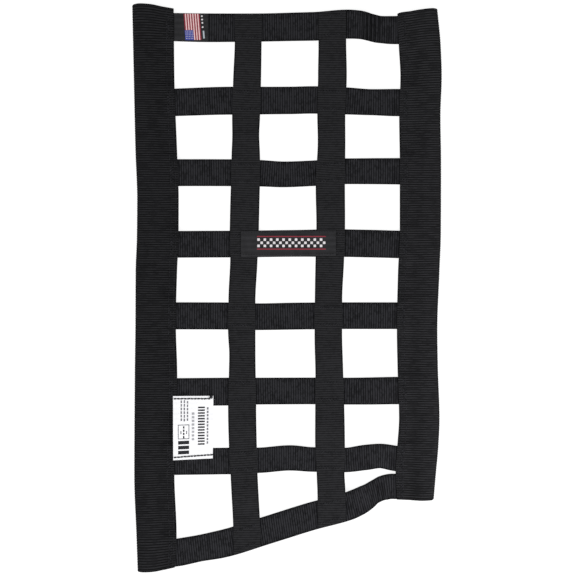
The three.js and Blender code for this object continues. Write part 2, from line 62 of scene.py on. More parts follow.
# Cloth as it is bought, and the space left between two pieces that lie on each other
STRAP_THICKNESS = 1.5
SLEEVE_THICKNESS = 1.3
LABEL_THICKNESS = 0.5
CLEARANCE = 0.3
LABEL_CLEARANCE = 0.15
STACK_HEIGHT = STRAP_THICKNESS + CLEARANCE
REST_MARGIN = 1.0
FAR = 10_000.0

# One rib of the webbing is four rows of the mesh: where each lies along the rib, and how deep it sinks
RIB_PITCH = 2.24
RIB_MARKS = np.array([0.0, 0.2, 0.5, 0.8])
RIB_SINKS = np.array([1.0, 0.35, 0.0, 0.35])
RIB_DEPTH = 0.3

# Columns from one woven edge to the other, and how thin the cloth is at its rim
STRAP_SHARES = np.array([-1, -0.99, -0.965, -0.93, -0.8, -0.5, -0.17, 0.17, 0.5, 0.8, 0.93, 0.965, 0.99, 1])
RIM_START = 0.93
RIM_THINNEST = 0.35

# The soft loops of the woven edges and of the cut ends stand out a little past the solids' edges. Where a
# strap is held, its painted rim shade moves this far in from the edge, over a ramp this long
EDGE_LOOPS = 0.29
FOLD_LOOPS = 0.38
SEAM_LOOPS = 0.13
END_LOOPS = 0.25
HELD_RIM_SHADE_SHIFT = 1.7
HELD_RIM_SHADE_RAMP = 3.0

# How far the ribs lean and bow out of true, and over what length of cloth
RIB_SWAY = 0.2
RIB_SWAY_LENGTH = 23.0

# One stitch is five rings of points: where each lies along it, and how thick the thread is there
STITCH_MARKS = np.array([0, 0.16, 0.5, 0.84, 1])
STITCH_SWELL = np.array([0.6, 1, 1.05, 1, 0.6])

# How far the corners of a zigzag reach to each side of it
ZIGZAG_REACH = 1.3

# Columns across a ribbon, and across the lower layer of a sleeve and its upper one
RIBBON_SHARES = np.array([-1, -0.98, -0.9, -0.45, 0, 0.45, 0.9, 0.98, 1])
LOWER_SHARES = np.array([0, 0.006, 0.02, 0.045, 0.2, 0.5, 0.8])
UPPER_SHARES = np.array(
    [0.07, 0.15, 0.23, 0.31, 0.39, 0.46, 0.53, 0.6, 0.68, 0.78, 0.88, 0.955, 0.98, 0.994, 1]
)

# Marks at which a strap's length is measured, how often a search goes between two straps to find where they
# cross, and the angle past which an edge of a mesh is sharp
LENGTH_MARKS = 4000
CROSSING_ROUNDS = 6
SHARP_DEGREES = 55

# Noise seldom leaves this span, as inputs of a map range; a wave texture of scale 1 repeats after this length
NOISE_SPAN = {1: 0.3, 2: 0.7}
WAVE_LENGTH = 2 * math.pi / 20


class Run(Enum):
    """Which way a strap runs over the net."""

    ACROSS = "along X, from sleeve to sleeve"
    UPRIGHT = "along Y, over the cross straps"


class Held(Enum):
    """How a sheet of cloth is held."""

    LAID = "laid"
    FOLDED = "folded"


class Slot(Enum):
    """The record's material slots."""

    WEBBING = "webbing"
    SLEEVE_WEBBING = "sleeve_webbing"
    BLACK_SATIN = "black_satin"
    FLAG_WEAVE = "flag_weave"
    WHITE_TAFFETA = "white_taffeta"


def smoothstep(value: Points, low: float | Points, high: float | Points) -> Points:
    """Eases from 0 at `low` to 1 at `high`.

    Args:
        value: Where to read the step.
        low: Where it starts to rise.
        high: Where it has risen.

    Returns:
        The share risen, from 0 to 1.
    """
    share = np.clip((value - low) / (high - low), 0, 1)
    return share * share * (3 - 2 * share)


def mix(start: Points, end: Points, share: Points) -> Points:
    """Goes straight from `start` at share 0 to `end` at share 1."""
    return start + (end - start) * share


class Course:
    """A smooth curve through the rows of a table, level where a column turns back."""

    def __init__(self, rows: Rows) -> None:
        """Sorts the rows by their first column, the place.

        Args:
            rows: Each row is a place and then one value a column.
        """
        table = np.array(sorted(rows), float)
        self.places = table[:, 0]
        self.columns = table[:, 1:]

    def at(self, column: int, place: Points) -> Points:
        """Reads one column of the table at any place.

        Args:
            column: Which column, counted from 0 after the place.
            place: Where to read it.

        Returns:
            The value at each place.
        """
        values = self.columns[:, column]
        spans = np.diff(self.places)
        rises = np.diff(values) / spans
        before, after = rises[:-1], rises[1:]
        same_way = before * after > 0
        total = np.where(same_way, before + after, 1)
        inner = np.where(same_way, 2 * before * after / total, 0)
        slopes = np.concatenate((rises[:1], inner, rises[-1:]))
        i = np.clip(np.searchsorted(self.places, place, side="right") - 1, 0, len(spans) - 1)
        t = np.clip((place - self.places[i]) / spans[i], 0, 1)
        bend = t * (1 - t) * ((1 - t) * slopes[i] - t * slopes[i + 1]) * spans[i]
        return mix(values[i], values[i + 1], t * t * (3 - 2 * t)) + bend

    def slope(self, column: int, place: Points, step: float = 0.5) -> Points:
        """Reads how fast a column changes.

        Args:
            column: Which column.
            place: Where to read it.
            step: How far each way the two readings lie.

        Returns:
            The change for each millimetre of place.
        """
        return (self.at(column, place + step) - self.at(column, place - step)) / (2 * step)


class MeshParts:
    """Collects points and faces, in millimetres, into one mesh."""

    def __init__(self) -> None:
        """Starts empty."""
        self.points: list[Points] = []
        self.faces: list[list[int]] = []
        self.count = 0

    def add(self, points: Points, faces: list[list[int]]) -> None:
        """Adds one closed form.

        Args:
            points: Its points, one row each.
            faces: Its faces, numbered from 0 within the form.
        """
        base = self.count
        self.points.append(points)
        self.faces.extend([[base + corner for corner in face] for face in faces])
        self.count += len(points)

    def build(self, name: str, finish: "Finish", weave: Points | None = None) -> bpy.types.Object:
        """Makes the object and dresses it.

        Args:
            name: The piece's name.
            finish: What its surface is.
            weave: For each point how far it is along the cloth, how far from a rim for its painted shade, and
                across.

        Returns:
            The new object.
        """
        mesh = bpy.data.meshes.new(name)
        mesh.from_pydata(np.concatenate(self.points) * MM, [], self.faces)
        if weave is not None:
            places = mesh.attributes.new("weave", "FLOAT_VECTOR", "POINT")
            places.data.foreach_set("vector", weave.ravel() * MM)
        mesh.shade_smooth()
        mesh.set_sharp_from_angle(angle=math.radians(SHARP_DEGREES))
        mesh.materials.append(finish.material())
        piece = bpy.data.objects.new(name, mesh)
        bpy.context.scene.collection.objects.link(piece)
        return piece


def shell_faces(rows: int, columns: int) -> list[list[int]]:
    """Faces of a closed sheet: an upper grid of points, a lower one, and the rim that joins them.

    Args:
        rows: How many points the grids have one way.
        columns: And the other way. Rows, columns and the way out of the upper grid are right-handed.

    Returns:
        Four corners for each face.
    """
    upper = np.arange(rows * columns).reshape(rows, columns)
    lower = upper + rows * columns
    top = np.stack((upper[:-1, :-1], upper[1:, :-1], upper[1:, 1:], upper[:-1, 1:]), -1)
    bottom = np.stack((lower[:-1, :-1], lower[:-1, 1:], lower[1:, 1:], lower[1:, :-1]), -1)
    rim = np.concatenate((upper[:-1, 0], upper[-1, :-1], upper[:0:-1, -1], upper[0, :0:-1]))
    under = rim + rows * columns
    after, under_after = np.roll(rim, -1), np.roll(under, -1)
    sides = np.stack((rim, under, under_after, after), -1)
    return np.concatenate([part.reshape(-1, 4) for part in (top, bottom, sides)]).tolist()


def sheet_between(
    name: str, finish: "Finish", upper: Points, lower: Points, weave: Points | None = None
) -> bpy.types.Object:
    """Makes a closed sheet from the grid of its upper side and the grid of its lower one.

    Args:
        name: The piece's name.
        finish: What its surface is.
        upper: Points of the upper side, rows by columns by three.
        lower: Points of the lower side.
        weave: The place in the cloth of each point of one side, and of the one behind it.

    Returns:
        The new object.
    """
    parts = MeshParts()
    parts.add(np.concatenate((upper.reshape(-1, 3), lower.reshape(-1, 3))), shell_faces(*upper.shape[:2]))
    return parts.build(name, finish, None if weave is None else np.concatenate((weave, weave)))


def linear_from_hex(colour: str) -> tuple[float, float, float, float]:
    """Turns an sRGB hex colour into linear light.

    Args:
        colour: Six hex digits after a hash.

    Returns:
        Red, green, blue and an alpha of 1.
    """
    channels = [int(colour[i : i + 2], 16) / 255 for i in (1, 3, 5)]
    red, green, blue = [c / 12.92 if c <= 0.04045 else ((c + 0.055) / 1.055) ** 2.4 for c in channels]
    return red, green, blue, 1.0


def add_node(
    tree: bpy.types.NodeTree, kind: str, settings: Values | None = None, inputs: Values | None = None
) -> bpy.types.Node:
    """Adds a node with its settings and links.

    Args:
        tree: The node tree.
        kind: The node's type, without the ShaderNode that each starts with.
        settings: Values for the node's own properties.
        inputs: For each input, by name or number, its value, or the socket or node that feeds it.

    Returns:
        The new node, which feeds another by its first output.
    """
    node = tree.nodes.new("ShaderNode" + kind)
    for name, value in (settings or {}).items():
        setattr(node, name, value)
    for key, value in (inputs or {}).items():
        source = value.outputs[0] if isinstance(value, bpy.types.Node) else value
        if isinstance(source, bpy.types.NodeSocket):
            tree.links.new(source, node.inputs[key])
        else:
            node.inputs[key].default_value = source
    return node


def round_bars(tree: bpy.types.NodeTree, count: bpy.types.Node) -> bpy.types.Node:
    """Gives the profile of round bars that lie side by side.

    Args:
        tree: The node tree.
        count: How many bars have passed.

    Returns:
        From 0 between two bars to 1 on the crown of one.
    """
    turn = add_node(tree, "Math", {"operation": "MULTIPLY"}, {0: count, 1: math.pi})
    wave = add_node(tree, "Math", {"operation": "SINE"}, {0: turn})
    return add_node(tree, "Math", {"operation": "ABSOLUTE"}, {0: wave})


@dataclass(frozen=True)
class Finish:
    """What every finish has: a name, its main colour, and one material made when it is first asked for."""

    name: str
    hex: str

    def material(self) -> bpy.types.Material:
        """Gives the finish's material.

        Returns:
            The material, the same one each time.
        """
        made = bpy.data.materials.get(self.name)
        if made is None:
            made = bpy.data.materials.new(self.name)
            made.use_nodes = True
            made.node_tree.nodes.clear()
            self.wire(made.node_tree)
        return made

    def wire(self, tree: bpy.types.NodeTree) -> None:
        """Builds the node tree; each finish has its own."""
        raise NotImplementedError

    def shade(self, tree: bpy.types.NodeTree, inputs: Values) -> None:
        """Ends the tree with the shader, fed by its inputs, and the output."""
        shader = add_node(tree, "BsdfPrincipled", inputs=inputs)
        add_node(tree, "OutputMaterial", inputs={0: shader})

    def tint(self, tree: bpy.types.NodeTree, pattern: Any, tones: Sequence[float], inputs: Values) -> None:
        """Ends the tree with the main colour, made lighter and darker by a pattern.

        Args:
            tree: The node tree.
            pattern: The node or socket that makes the colour uneven.
            tones: The pattern's lowest and highest value, and how bright the colour is at each.
            inputs: The shader's other inputs.
        """
        value = add_node(tree, "MapRange", inputs={0: pattern, **dict(enumerate(tones, 1))})
        main = {"Value": value, "Color": linear_from_hex(self.hex)}
        self.shade(tree, {"Base Color": add_node(tree, "HueSaturation", inputs=main), **inputs})


@dataclass(frozen=True)
class RibbedWebbing(Finish):
    """Black polyester webbing from a narrow-fabric loom, with a heavy rib across it.

    The eye sees fine bars across the strap, each a little lighter or darker than the next, a faint
    grain of warp yarns along it, and a dark rim. The fibres are dull, with a soft bloom. The rim colour
    is painted shade where the cloth turns down at its edges, fold and cut ends, and in its creases. The
    main colour is that of the ribs' crowns; the darker groove colour between them is painted shade. A
    rib is faint or bold, on a base that may be paler where it is faint.
    """

    groove_shade_hex: str
    rim_shade_hex: str
    rib_mm: float = RIB_PITCH
    yarn_mm: float = 1.3
    rim_shade_mm: float = 1.9
    streak_mm: float = 9.0
    ribs_alike: float = 1.0
    faint_rib: float = 0.5
    bold_rib: float = 1.05
    faint_base: float = -0.1
    bold_base: float = 0.1
    fuzz: float = 0.0
    mottle: float = 0.12
    yarn_share: float = 0.25
    relief_mm: float = 0.12
    crown: tuple[float, float] = (0.35, 0.8)
    packing_span: tuple[float, float] = (0.34, 0.66)
    roughness: tuple[float, float] = (0.78, 0.92)

    def wire(self, tree: bpy.types.NodeTree) -> None:
        """Builds the ribs, yarns, edge and unevenness.

        Args:
            tree: The empty node tree.
        """
        add = partial(add_node, tree)
        times, times_plus = {"operation": "MULTIPLY"}, {"operation": "MULTIPLY_ADD"}
        blend = {"data_type": "RGBA"}
        cloth = add("Attribute", {"attribute_name": "weave"}).outputs["Vector"]
        along, edge, across = add("SeparateXYZ", inputs={0: cloth}).outputs
        ribs = add("Math", times, {0: along, 1: 1 / (self.rib_mm * MM)})
        number = add("Math", {"operation": "FLOOR"}, {0: ribs})
        ridge = round_bars(tree, ribs)
        start, full = self.crown
        crown = add("MapRange", {"interpolation_type": "SMOOTHSTEP"}, {0: ridge, 1: start, 2: full})

        # The warp yarns are 0.6 mm apart in the cloth; they are drawn twice as coarse, so that they show
        stagger = add("Math", times, {0: number, 1: 0.5})
        yarns = add("Math", times_plus, {0: across, 1: 1 / (self.yarn_mm * MM), 2: stagger})
        yarn = round_bars(tree, yarns)

        # Each rib, or each few ribs, is packed a little looser or tighter than the next, and differs along it
        bunch = add("Math", times, {0: number, 1: 1 / self.ribs_alike})
        streaks = add("Math", times, {0: across, 1: 1 / (self.streak_mm * MM)})
        tones = add("CombineXYZ", inputs={0: bunch, 1: streaks})
        uneven = {"Vector": tones, "Scale": 1.7, "Detail": 1.0, "Roughness": 0.6}
        packing = add("TexNoise", {"noise_dimensions": "2D"}, uneven).outputs["Fac"]
        place = add("TexCoord").outputs["Object"]
        patches = {"Vector": place, "Scale": 70.0, "Detail": 3.0, "Roughness": 0.55}
        wear = add("TexNoise", inputs=patches).outputs["Fac"]

        loose, tight = self.packing_span
        ribs_shown = {1: loose, 2: tight, 3: self.faint_rib, 4: self.bold_rib}
        strength = add("MapRange", inputs={0: packing, **ribs_shown})
        base = add("MapRange", inputs={0: packing, **NOISE_SPAN, 3: self.faint_base, 4: self.bold_base})
        dimmest, brightest = self.fuzz - self.mottle, self.fuzz + self.mottle
        worn = add("MapRange", inputs={0: wear, **NOISE_SPAN, 3: dimmest, 4: brightest})
        grain = add("Math", times_plus, {0: yarn, 1: self.yarn_share, 2: base})
        ground = add("Math", inputs={0: grain, 1: worn})
        light = add("Math", {**times_plus, "use_clamp": True}, {0: crown, 1: strength, 2: ground})
        # Painted shade: the grooves between ribs take the darker groove colour, the crowns the main colour
        groove, top, rim = (linear_from_hex(colour) for colour in (self.groove_shade_hex, self.hex, self.rim_shade_hex))
        woven = add("Mix", blend, {0: light, 6: groove, 7: top}).outputs[2]
        # Painted shade: near a rim, fold, cut end or crease the colour darkens to the rim colour
        inside = add("MapRange", inputs={0: edge, 2: self.rim_shade_mm * MM})
        colour = add("Mix", blend, {0: inside, 6: rim, 7: woven}).outputs[2]
        relief = add("Math", times_plus, {0: ridge, 1: 0.5, 2: yarn})
        bump = add("Bump", inputs={"Strength": 0.5, "Distance": self.relief_mm * MM, "Height": relief})
        smoothest, roughest = self.roughness
        dull = add("MapRange", inputs={0: wear, **NOISE_SPAN, 3: smoothest, 4: roughest})
        gloss = {"Roughness": dull, "IOR": 1.5, "Specular IOR Level": 0.05}
        self.shade(tree, {"Base Color": colour, "Normal": bump, **gloss})


@dataclass(frozen=True)
class WovenRibbon(Finish):
    """Polyester ribbon yarn woven flat: black satin, white taffeta or the coloured floats of a label.

    The eye sees an even colour with faint bands across it and a soft gloss along the yarns.
    """

    band_mm: float = 4.4
    roughness: float = 0.6
    shift: float = 0.12

    def wire(self, tree: bpy.types.NodeTree) -> None:
        """Builds the bands and their unevenness.

        Args:
            tree: The empty node tree.
        """
        # The threads are 0.2 to 0.3 mm apart and too fine to show; the bands are looser and tighter weaving
        add = partial(add_node, tree)
        place = add("TexCoord").outputs["Object"]
        wave = {"Vector": place, "Scale": WAVE_LENGTH / (self.band_mm * MM), "Distortion": 0.6, "Detail": 2.0}
        bands = add("TexWave", {"wave_type": "BANDS", "bands_direction": "Y"}, wave).outputs["Fac"]
        noise = {"Vector": place, "Scale": 160.0, "Detail": 3.0, "Roughness": 0.6}
        cloud = add("TexNoise", inputs=noise).outputs["Fac"]
        both = add("Math", {"operation": "MULTIPLY_ADD"}, {0: bands, 1: 0.4, 2: cloud})
        bump = add("Bump", inputs={"Strength": 0.35, "Distance": 0.05 * MM, "Height": both})
        gloss = {"Roughness": self.roughness, "IOR": 1.5, "Specular IOR Level": 0.1}
        self.tint(tree, both, (0.3, 1.1, 1 - self.shift, 1 + self.shift), {"Normal": bump, **gloss})


@dataclass(frozen=True)
class SewingThread(Finish):
    """Bonded polyester thread, three strands twisted; a faint gloss shows each stitch on the dull webbing."""

    band_mm: float = 5.65

    def wire(self, tree: bpy.types.NodeTree) -> None:
        """Builds bands of light and shade, which make the stitches differ; the twist is too fine to show.

        Args:
            tree: The empty node tree.
        """
        add = partial(add_node, tree)
        place = add("TexCoord").outputs["Object"]
        wave = {"Vector": place, "Scale": WAVE_LENGTH / (self.band_mm * MM), "Distortion": 0.4}
        bands = add("TexWave", {"wave_type": "BANDS", "bands_direction": "DIAGONAL"}, wave).outputs["Fac"]
        bump = add("Bump", inputs={"Strength": 0.5, "Distance": 0.08 * MM, "Height": bands})
        gloss = {"Roughness": 0.6, "IOR": 1.5, "Specular IOR Level": 0.12}
        self.tint(tree, bands, (0.0, 1.0, 0.7, 1.25), {"Normal": bump, **gloss})


@dataclass(frozen=True)
class OpalAcrylic(Finish):
    """Cast opal acrylic over a light box: matt, even, and faintly lit from below, so shadows are pale."""

    glow: float

    def wire(self, tree: bpy.types.NodeTree) -> None:
        """Builds the even sheet.

        Args:
            tree: The empty node tree.
        """
        place = add_node(tree, "TexCoord").outputs["Object"]
        noise = {"Vector": place, "Scale": 3.0, "Detail": 2.0}
        cloud = add_node(tree, "TexNoise", inputs=noise).outputs["Fac"]
        lit = {"Emission Color": (1.0, 1.0, 1.0, 1.0), "Emission Strength": self.glow}
        gloss = {"Roughness": 0.9, "IOR": 1.49, "Specular IOR Level": 0.1}
        self.tint(tree, cloud, (0.0, 1.0, 0.985, 1.015), {**gloss, **lit})


# Each webbing gives its crowns' colour, then the painted shade of its grooves and of its rims
STRAP_WEBBING = RibbedWebbing("ribbed_polyester_webbing", "#2b2b2e", "#070708", "#070708")

# The uprights' ribs lie along the key light, which leaves them little shade; this copy of the webbing
# paints their groove shade paler and their ribs fainter and more even
UPRIGHT_WEBBING = RibbedWebbing(
    "webbing_with_painted_fainter_ribs", "#272729", "#121213", "#070708", faint_rib=0.6, bold_rib=0.95, fuzz=0.05
)

# The two sleeves wear two copies of one webbing: the right one painted paler, as lit, the left one
# darker, as shaded, for how the light falls on them. Their ribs are worn flat in patches, where the fuzz
# between them is as pale as they are
LEFT_SLEEVE_WEBBING = RibbedWebbing(
    "wide_ribbed_webbing", "#252527", "#09090a", "#050506", streak_mm=16.0, ribs_alike=3.5,
    faint_rib=0.25, bold_rib=1.45, faint_base=0.2, bold_base=-0.36, fuzz=-0.04,
)
RIGHT_SLEEVE_WEBBING = RibbedWebbing(
    "wide_ribbed_webbing_painted_lit", "#2a2a2c", "#0a0a0b", "#050506", streak_mm=16.0, ribs_alike=3.5,
    faint_rib=0.2, bold_rib=1.35, faint_base=0.2, bold_base=-0.3, fuzz=0.0,
)
BLACK_SATIN = WovenRibbon("black_satin_ribbon", "#272729", band_mm=5.65, roughness=0.55, shift=0.3)
WHITE_TAFFETA = WovenRibbon("printed_white_taffeta", "#ececee", band_mm=5.03, shift=0.05)
WHITE_FLOAT = WovenRibbon("white_label_yarn", "#d6d2d4", shift=0.06)
GREY_FLOAT = WovenRibbon("pale_grey_label_yarn", "#a9b1b8", shift=0.06)
PINK_FLOAT = WovenRibbon("pale_pink_label_yarn", "#e0bdbd", shift=0.06)
RED_FLOAT = WovenRibbon("dark_red_label_yarn", "#862f3b")
BLUE_FLOAT = WovenRibbon("blue_label_yarn", "#434a92")
PALE_INK = WovenRibbon("pale_grey_print_on_taffeta", "#a4a4a8", band_mm=5.03, roughness=0.7)
GREY_INK = WovenRibbon("grey_print_on_taffeta", "#77777c", band_mm=5.03, roughness=0.7)
BLACK_INK = WovenRibbon("black_print_on_taffeta", "#26262a", band_mm=5.03, roughness=0.7)
BLACK_THREAD = SewingThread("bonded_black_thread", "#232326")
OPAL_TABLE = OpalAcrylic("opal_acrylic", "#8a8a8a", glow=0.85)


def dress(piece: bpy.types.Object, node: str | None = None) -> bpy.types.Object:
    """Rides a piece on the net and hides the solid that it stands for.

    Args:
        piece: The new piece.
        node: The solid that it replaces, if it replaces one.

    Returns:
        The same piece.
    """
    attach(piece, "root")
    if node is not None:
        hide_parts(node)
    LOG.info("%s: %d points", piece.name, len(piece.data.vertices))
    return piece


@dataclass(frozen=True)
class Rest:
    """A stretch over which a strap lies level on something, in millimetres."""

    start: float
    end: float
    height: float


def rim_thickness(share: Points) -> Points:
    """How thick webbing is towards its rounded woven edges.

    Args:
        share: From -1 at one edge to 1 at the other.

    Returns:
        The share of the full thickness.
    """
    past = np.clip((np.abs(share) - RIM_START) / (1 - RIM_START), 0, 1)
    return RIM_THINNEST + (1 - RIM_THINNEST) * np.sqrt(1 - past**2)


def rib_sway(marks: Points, share: Points, phase: float) -> Points:
    """How far the ribs lean and bow out of true; it drifts along the cloth, as the loom left it.

    Args:
        marks: Where each row lies, counted in ribs.
        share: From -1 at one edge to 1 at the other.
        phase: Sets one piece of cloth apart from the next.

    Returns:
        The shift along the cloth.
    """
    turn = marks * RIB_PITCH / RIB_SWAY_LENGTH + phase
    lean = np.sin(turn) + 0.6 * np.sin(2.7 * turn + 1)
    bow = np.sin(1.7 * turn + 2)
    return RIB_SWAY * (lean * share + bow * (share**2 - 0.3))


def rib_marks(ribs: int) -> tuple[Points, Points]:
    """Rows of a ribbed mesh.

    Args:
        ribs: How many ribs it has.

    Returns:
        Where each row lies, counted in ribs, and how deep it sinks.
    """
    marks = np.append((np.arange(ribs)[:, None] + RIB_MARKS).ravel(), ribs)
    return marks, np.append(np.tile(RIB_SINKS, ribs), RIB_SINKS[0]) * RIB_DEPTH


@dataclass
class Strap:
    """One length of ribbed one-inch webbing, in millimetres.

    A section is a place along the strap, where its centre line runs there and how wide it is. A fold is
    where the strap stands off the floor or dips, its reach each way, and its height. A crease is a sharp
    valley: where it is, its reach each way, its depth, and how much painted shade darkens it, from 0 to 1.
    """

    name: str
    node: str
    run: Run
    sections: Rows
    folds: Rows
    rests: list[Rest] = field(default_factory=list)
    lifts: tuple[float, ...] = ()
    creases: Rows = ()
    squareness: float = 1.0
    finish: RibbedWebbing = STRAP_WEBBING

    def __post_init__(self) -> None:
        """Makes the smooth curve through the sections."""
        self.course = Course(self.sections)

    def underside(self, place: Points) -> Points:
        """The height of the underside: level on each rest, ramping between rests, with the folds on top.

        Args:
            place: Where along the strap.

        Returns:
            The height over the floor.
        """
        starts, ends, heights = np.array([(r.start, r.end, r.height) for r in self.rests]).T
        i = np.clip(np.searchsorted(starts, place, side="right") - 1, 0, len(starts) - 1)
        following = np.minimum(i + 1, len(starts) - 1)
        last = following == i
        ramp = smoothstep(place, ends[i], np.where(last, ends[i] + 1, starts[following]))
        height = mix(heights[i], heights[following], ramp)
        for at, reach, rise in self.folds:
            share = np.clip((place - at) / reach, -1, 1)
            height = height + rise * np.cos(share * math.pi / 2) ** 2
        return np.maximum(height, 0)

    def crease_depth(self, x: Points) -> Points:
        """How deep the creases of a cross strap are at any X; they run square to the sleeves."""
        depths = (deep * np.clip(1 - np.abs(x - at) / reach, 0, 1) for at, reach, deep, _ in self.creases)
        return sum(depths, 0 * x)

    def width(self, place: Points) -> Points:
        """How wide the strap is, from the loops of one woven edge to those of the other."""
        return self.course.at(1, place) + 2 * EDGE_LOOPS

    def rim_shade_distance(self, place: Points, across: Points, x: Points) -> Points:
        """How far a point lies from the rim, for its painted shade: more where held, less in a crease.

        Args:
            place: Where along the strap.
            across: How far from one edge.
            x: Its X, which the creases of a cross strap follow.

        Returns:
            The distance, in millimetres.
        """
        held = [
            smoothstep(place, rest.start, rest.start + HELD_RIM_SHADE_RAMP)
            * smoothstep(-place, -rest.end, HELD_RIM_SHADE_RAMP - rest.end)
            for rest in self.rests
        ]
        distance = np.minimum(across, self.width(place) - across) + HELD_RIM_SHADE_SHIFT * np.max(held, axis=0)
        clear = self.finish.rim_shade_mm
        # Painted shade in each crease valley: the distance shrinks as far as the crease's darkness says
        for at, reach, _, dark in self.creases:
            distance = np.minimum(distance, clear * (1 - dark * np.clip(1 - np.abs(x - at) / reach, 0, 1)))
        return distance

    def surface(self, place: Points, share: Points, lift: Points) -> Points:
        """Points of the strap.

        Args:
            place: Where along it.
            share: Where across it, from -1 at one edge to 1 at the other.
            lift: How far over its underside.

        Returns:
            X, Y and Z in the last axis.
        """
        place, share, lift = np.broadcast_arrays(np.asarray(place, float), share, lift)
        centre, slope = self.course.at(0, place), self.course.slope(0, place)
        side = share * self.width(place) / 2 / np.hypot(1, slope)
        height = self.underside(place)
        if self.run is Run.ACROSS:
            x = place - side * slope
            height = np.maximum(height - self.crease_depth(x), 0)
            return np.stack((x, centre + side, height + lift), -1)
        return np.stack((centre - side, place + side * slope, height + lift), -1)

    def skewed(self, place: Points, fine: Points) -> Points:
        """Slides the ends of each rib along the strap's edges, where the webbing was pulled askew.

        Args:
            place: Where each rib lies on the centre line.
            fine: Places all along the strap.

        Returns:
            Where each point of each rib lies, ribs by columns.
        """
        axis = 0 if self.run is Run.ACROSS else 1
        columns = [self.surface(fine, share, 0)[:, axis] for share in STRAP_SHARES]
        upright = np.stack([np.interp(place, column, fine) for column in columns], -1)
        return mix(upright, place[:, None], self.squareness)

    def build(self) -> bpy.types.Object:
        """Weaves the strap, rib by rib.

        Returns:
            The strap, dressed.
        """
        start, end = self.course.places[0], self.course.places[-1]
        fine = np.linspace(start, end, LENGTH_MARKS)
        steps = np.linalg.norm(np.diff(self.surface(fine, 0, 0), axis=0), axis=1)
        travelled = np.concatenate(([0], np.cumsum(steps)))
        ribs = round(travelled[-1] / RIB_PITCH)
        marks, sinks = rib_marks(ribs)
        share = STRAP_SHARES[None, :]
        place = self.skewed(np.interp(marks / ribs * travelled[-1], travelled, fine), fine)
        place = place + rib_sway(marks[:, None], share, self.course.columns[0, 0])
        thick = STRAP_THICKNESS * rim_thickness(share)
        sunk = sinks[:, None] * rim_thickness(share)
        middle = STRAP_THICKNESS / 2
        top = self.surface(place, share, middle + thick / 2 - sunk)
        bottom = self.surface(place, share, middle - thick / 2 + sunk)
        across = (share + 1) / 2 * self.width(place)
        along = np.broadcast_to(marks[:, None] * RIB_PITCH, across.shape)
        weave = np.stack((along, self.rim_shade_distance(place, across, top[..., 0]), across), -1)
        return dress(sheet_between(self.name, self.finish, top, bottom, weave), self.node)


@dataclass(frozen=True)
class Crossing:
    """Where a cross strap passes under an upright, and half the size of the shared square."""

    x: float
    y: float
    half_x: float
    half_y: float
    slope: float


def crossing_of(strap: Strap, upright: Strap) -> Crossing:
    """Finds where two straps cross by going from one centre line to the other and back.

    Args:
        strap: The cross strap.
        upright: The upright.

    Returns:
        The crossing.
    """
    x = y = 0.0
    for _ in range(CROSSING_ROUNDS):
        y = float(strap.course.at(0, x))
        x = float(upright.course.at(0, y))
    slope = float(strap.course.slope(0, x))
    half_x = float(upright.course.at(1, y)) / 2 + REST_MARGIN
    half_y = float(strap.course.at(1, x)) / 2 * math.hypot(1, slope) + abs(slope) * half_x + REST_MARGIN
    return Crossing(x, y, half_x, half_y, slope)


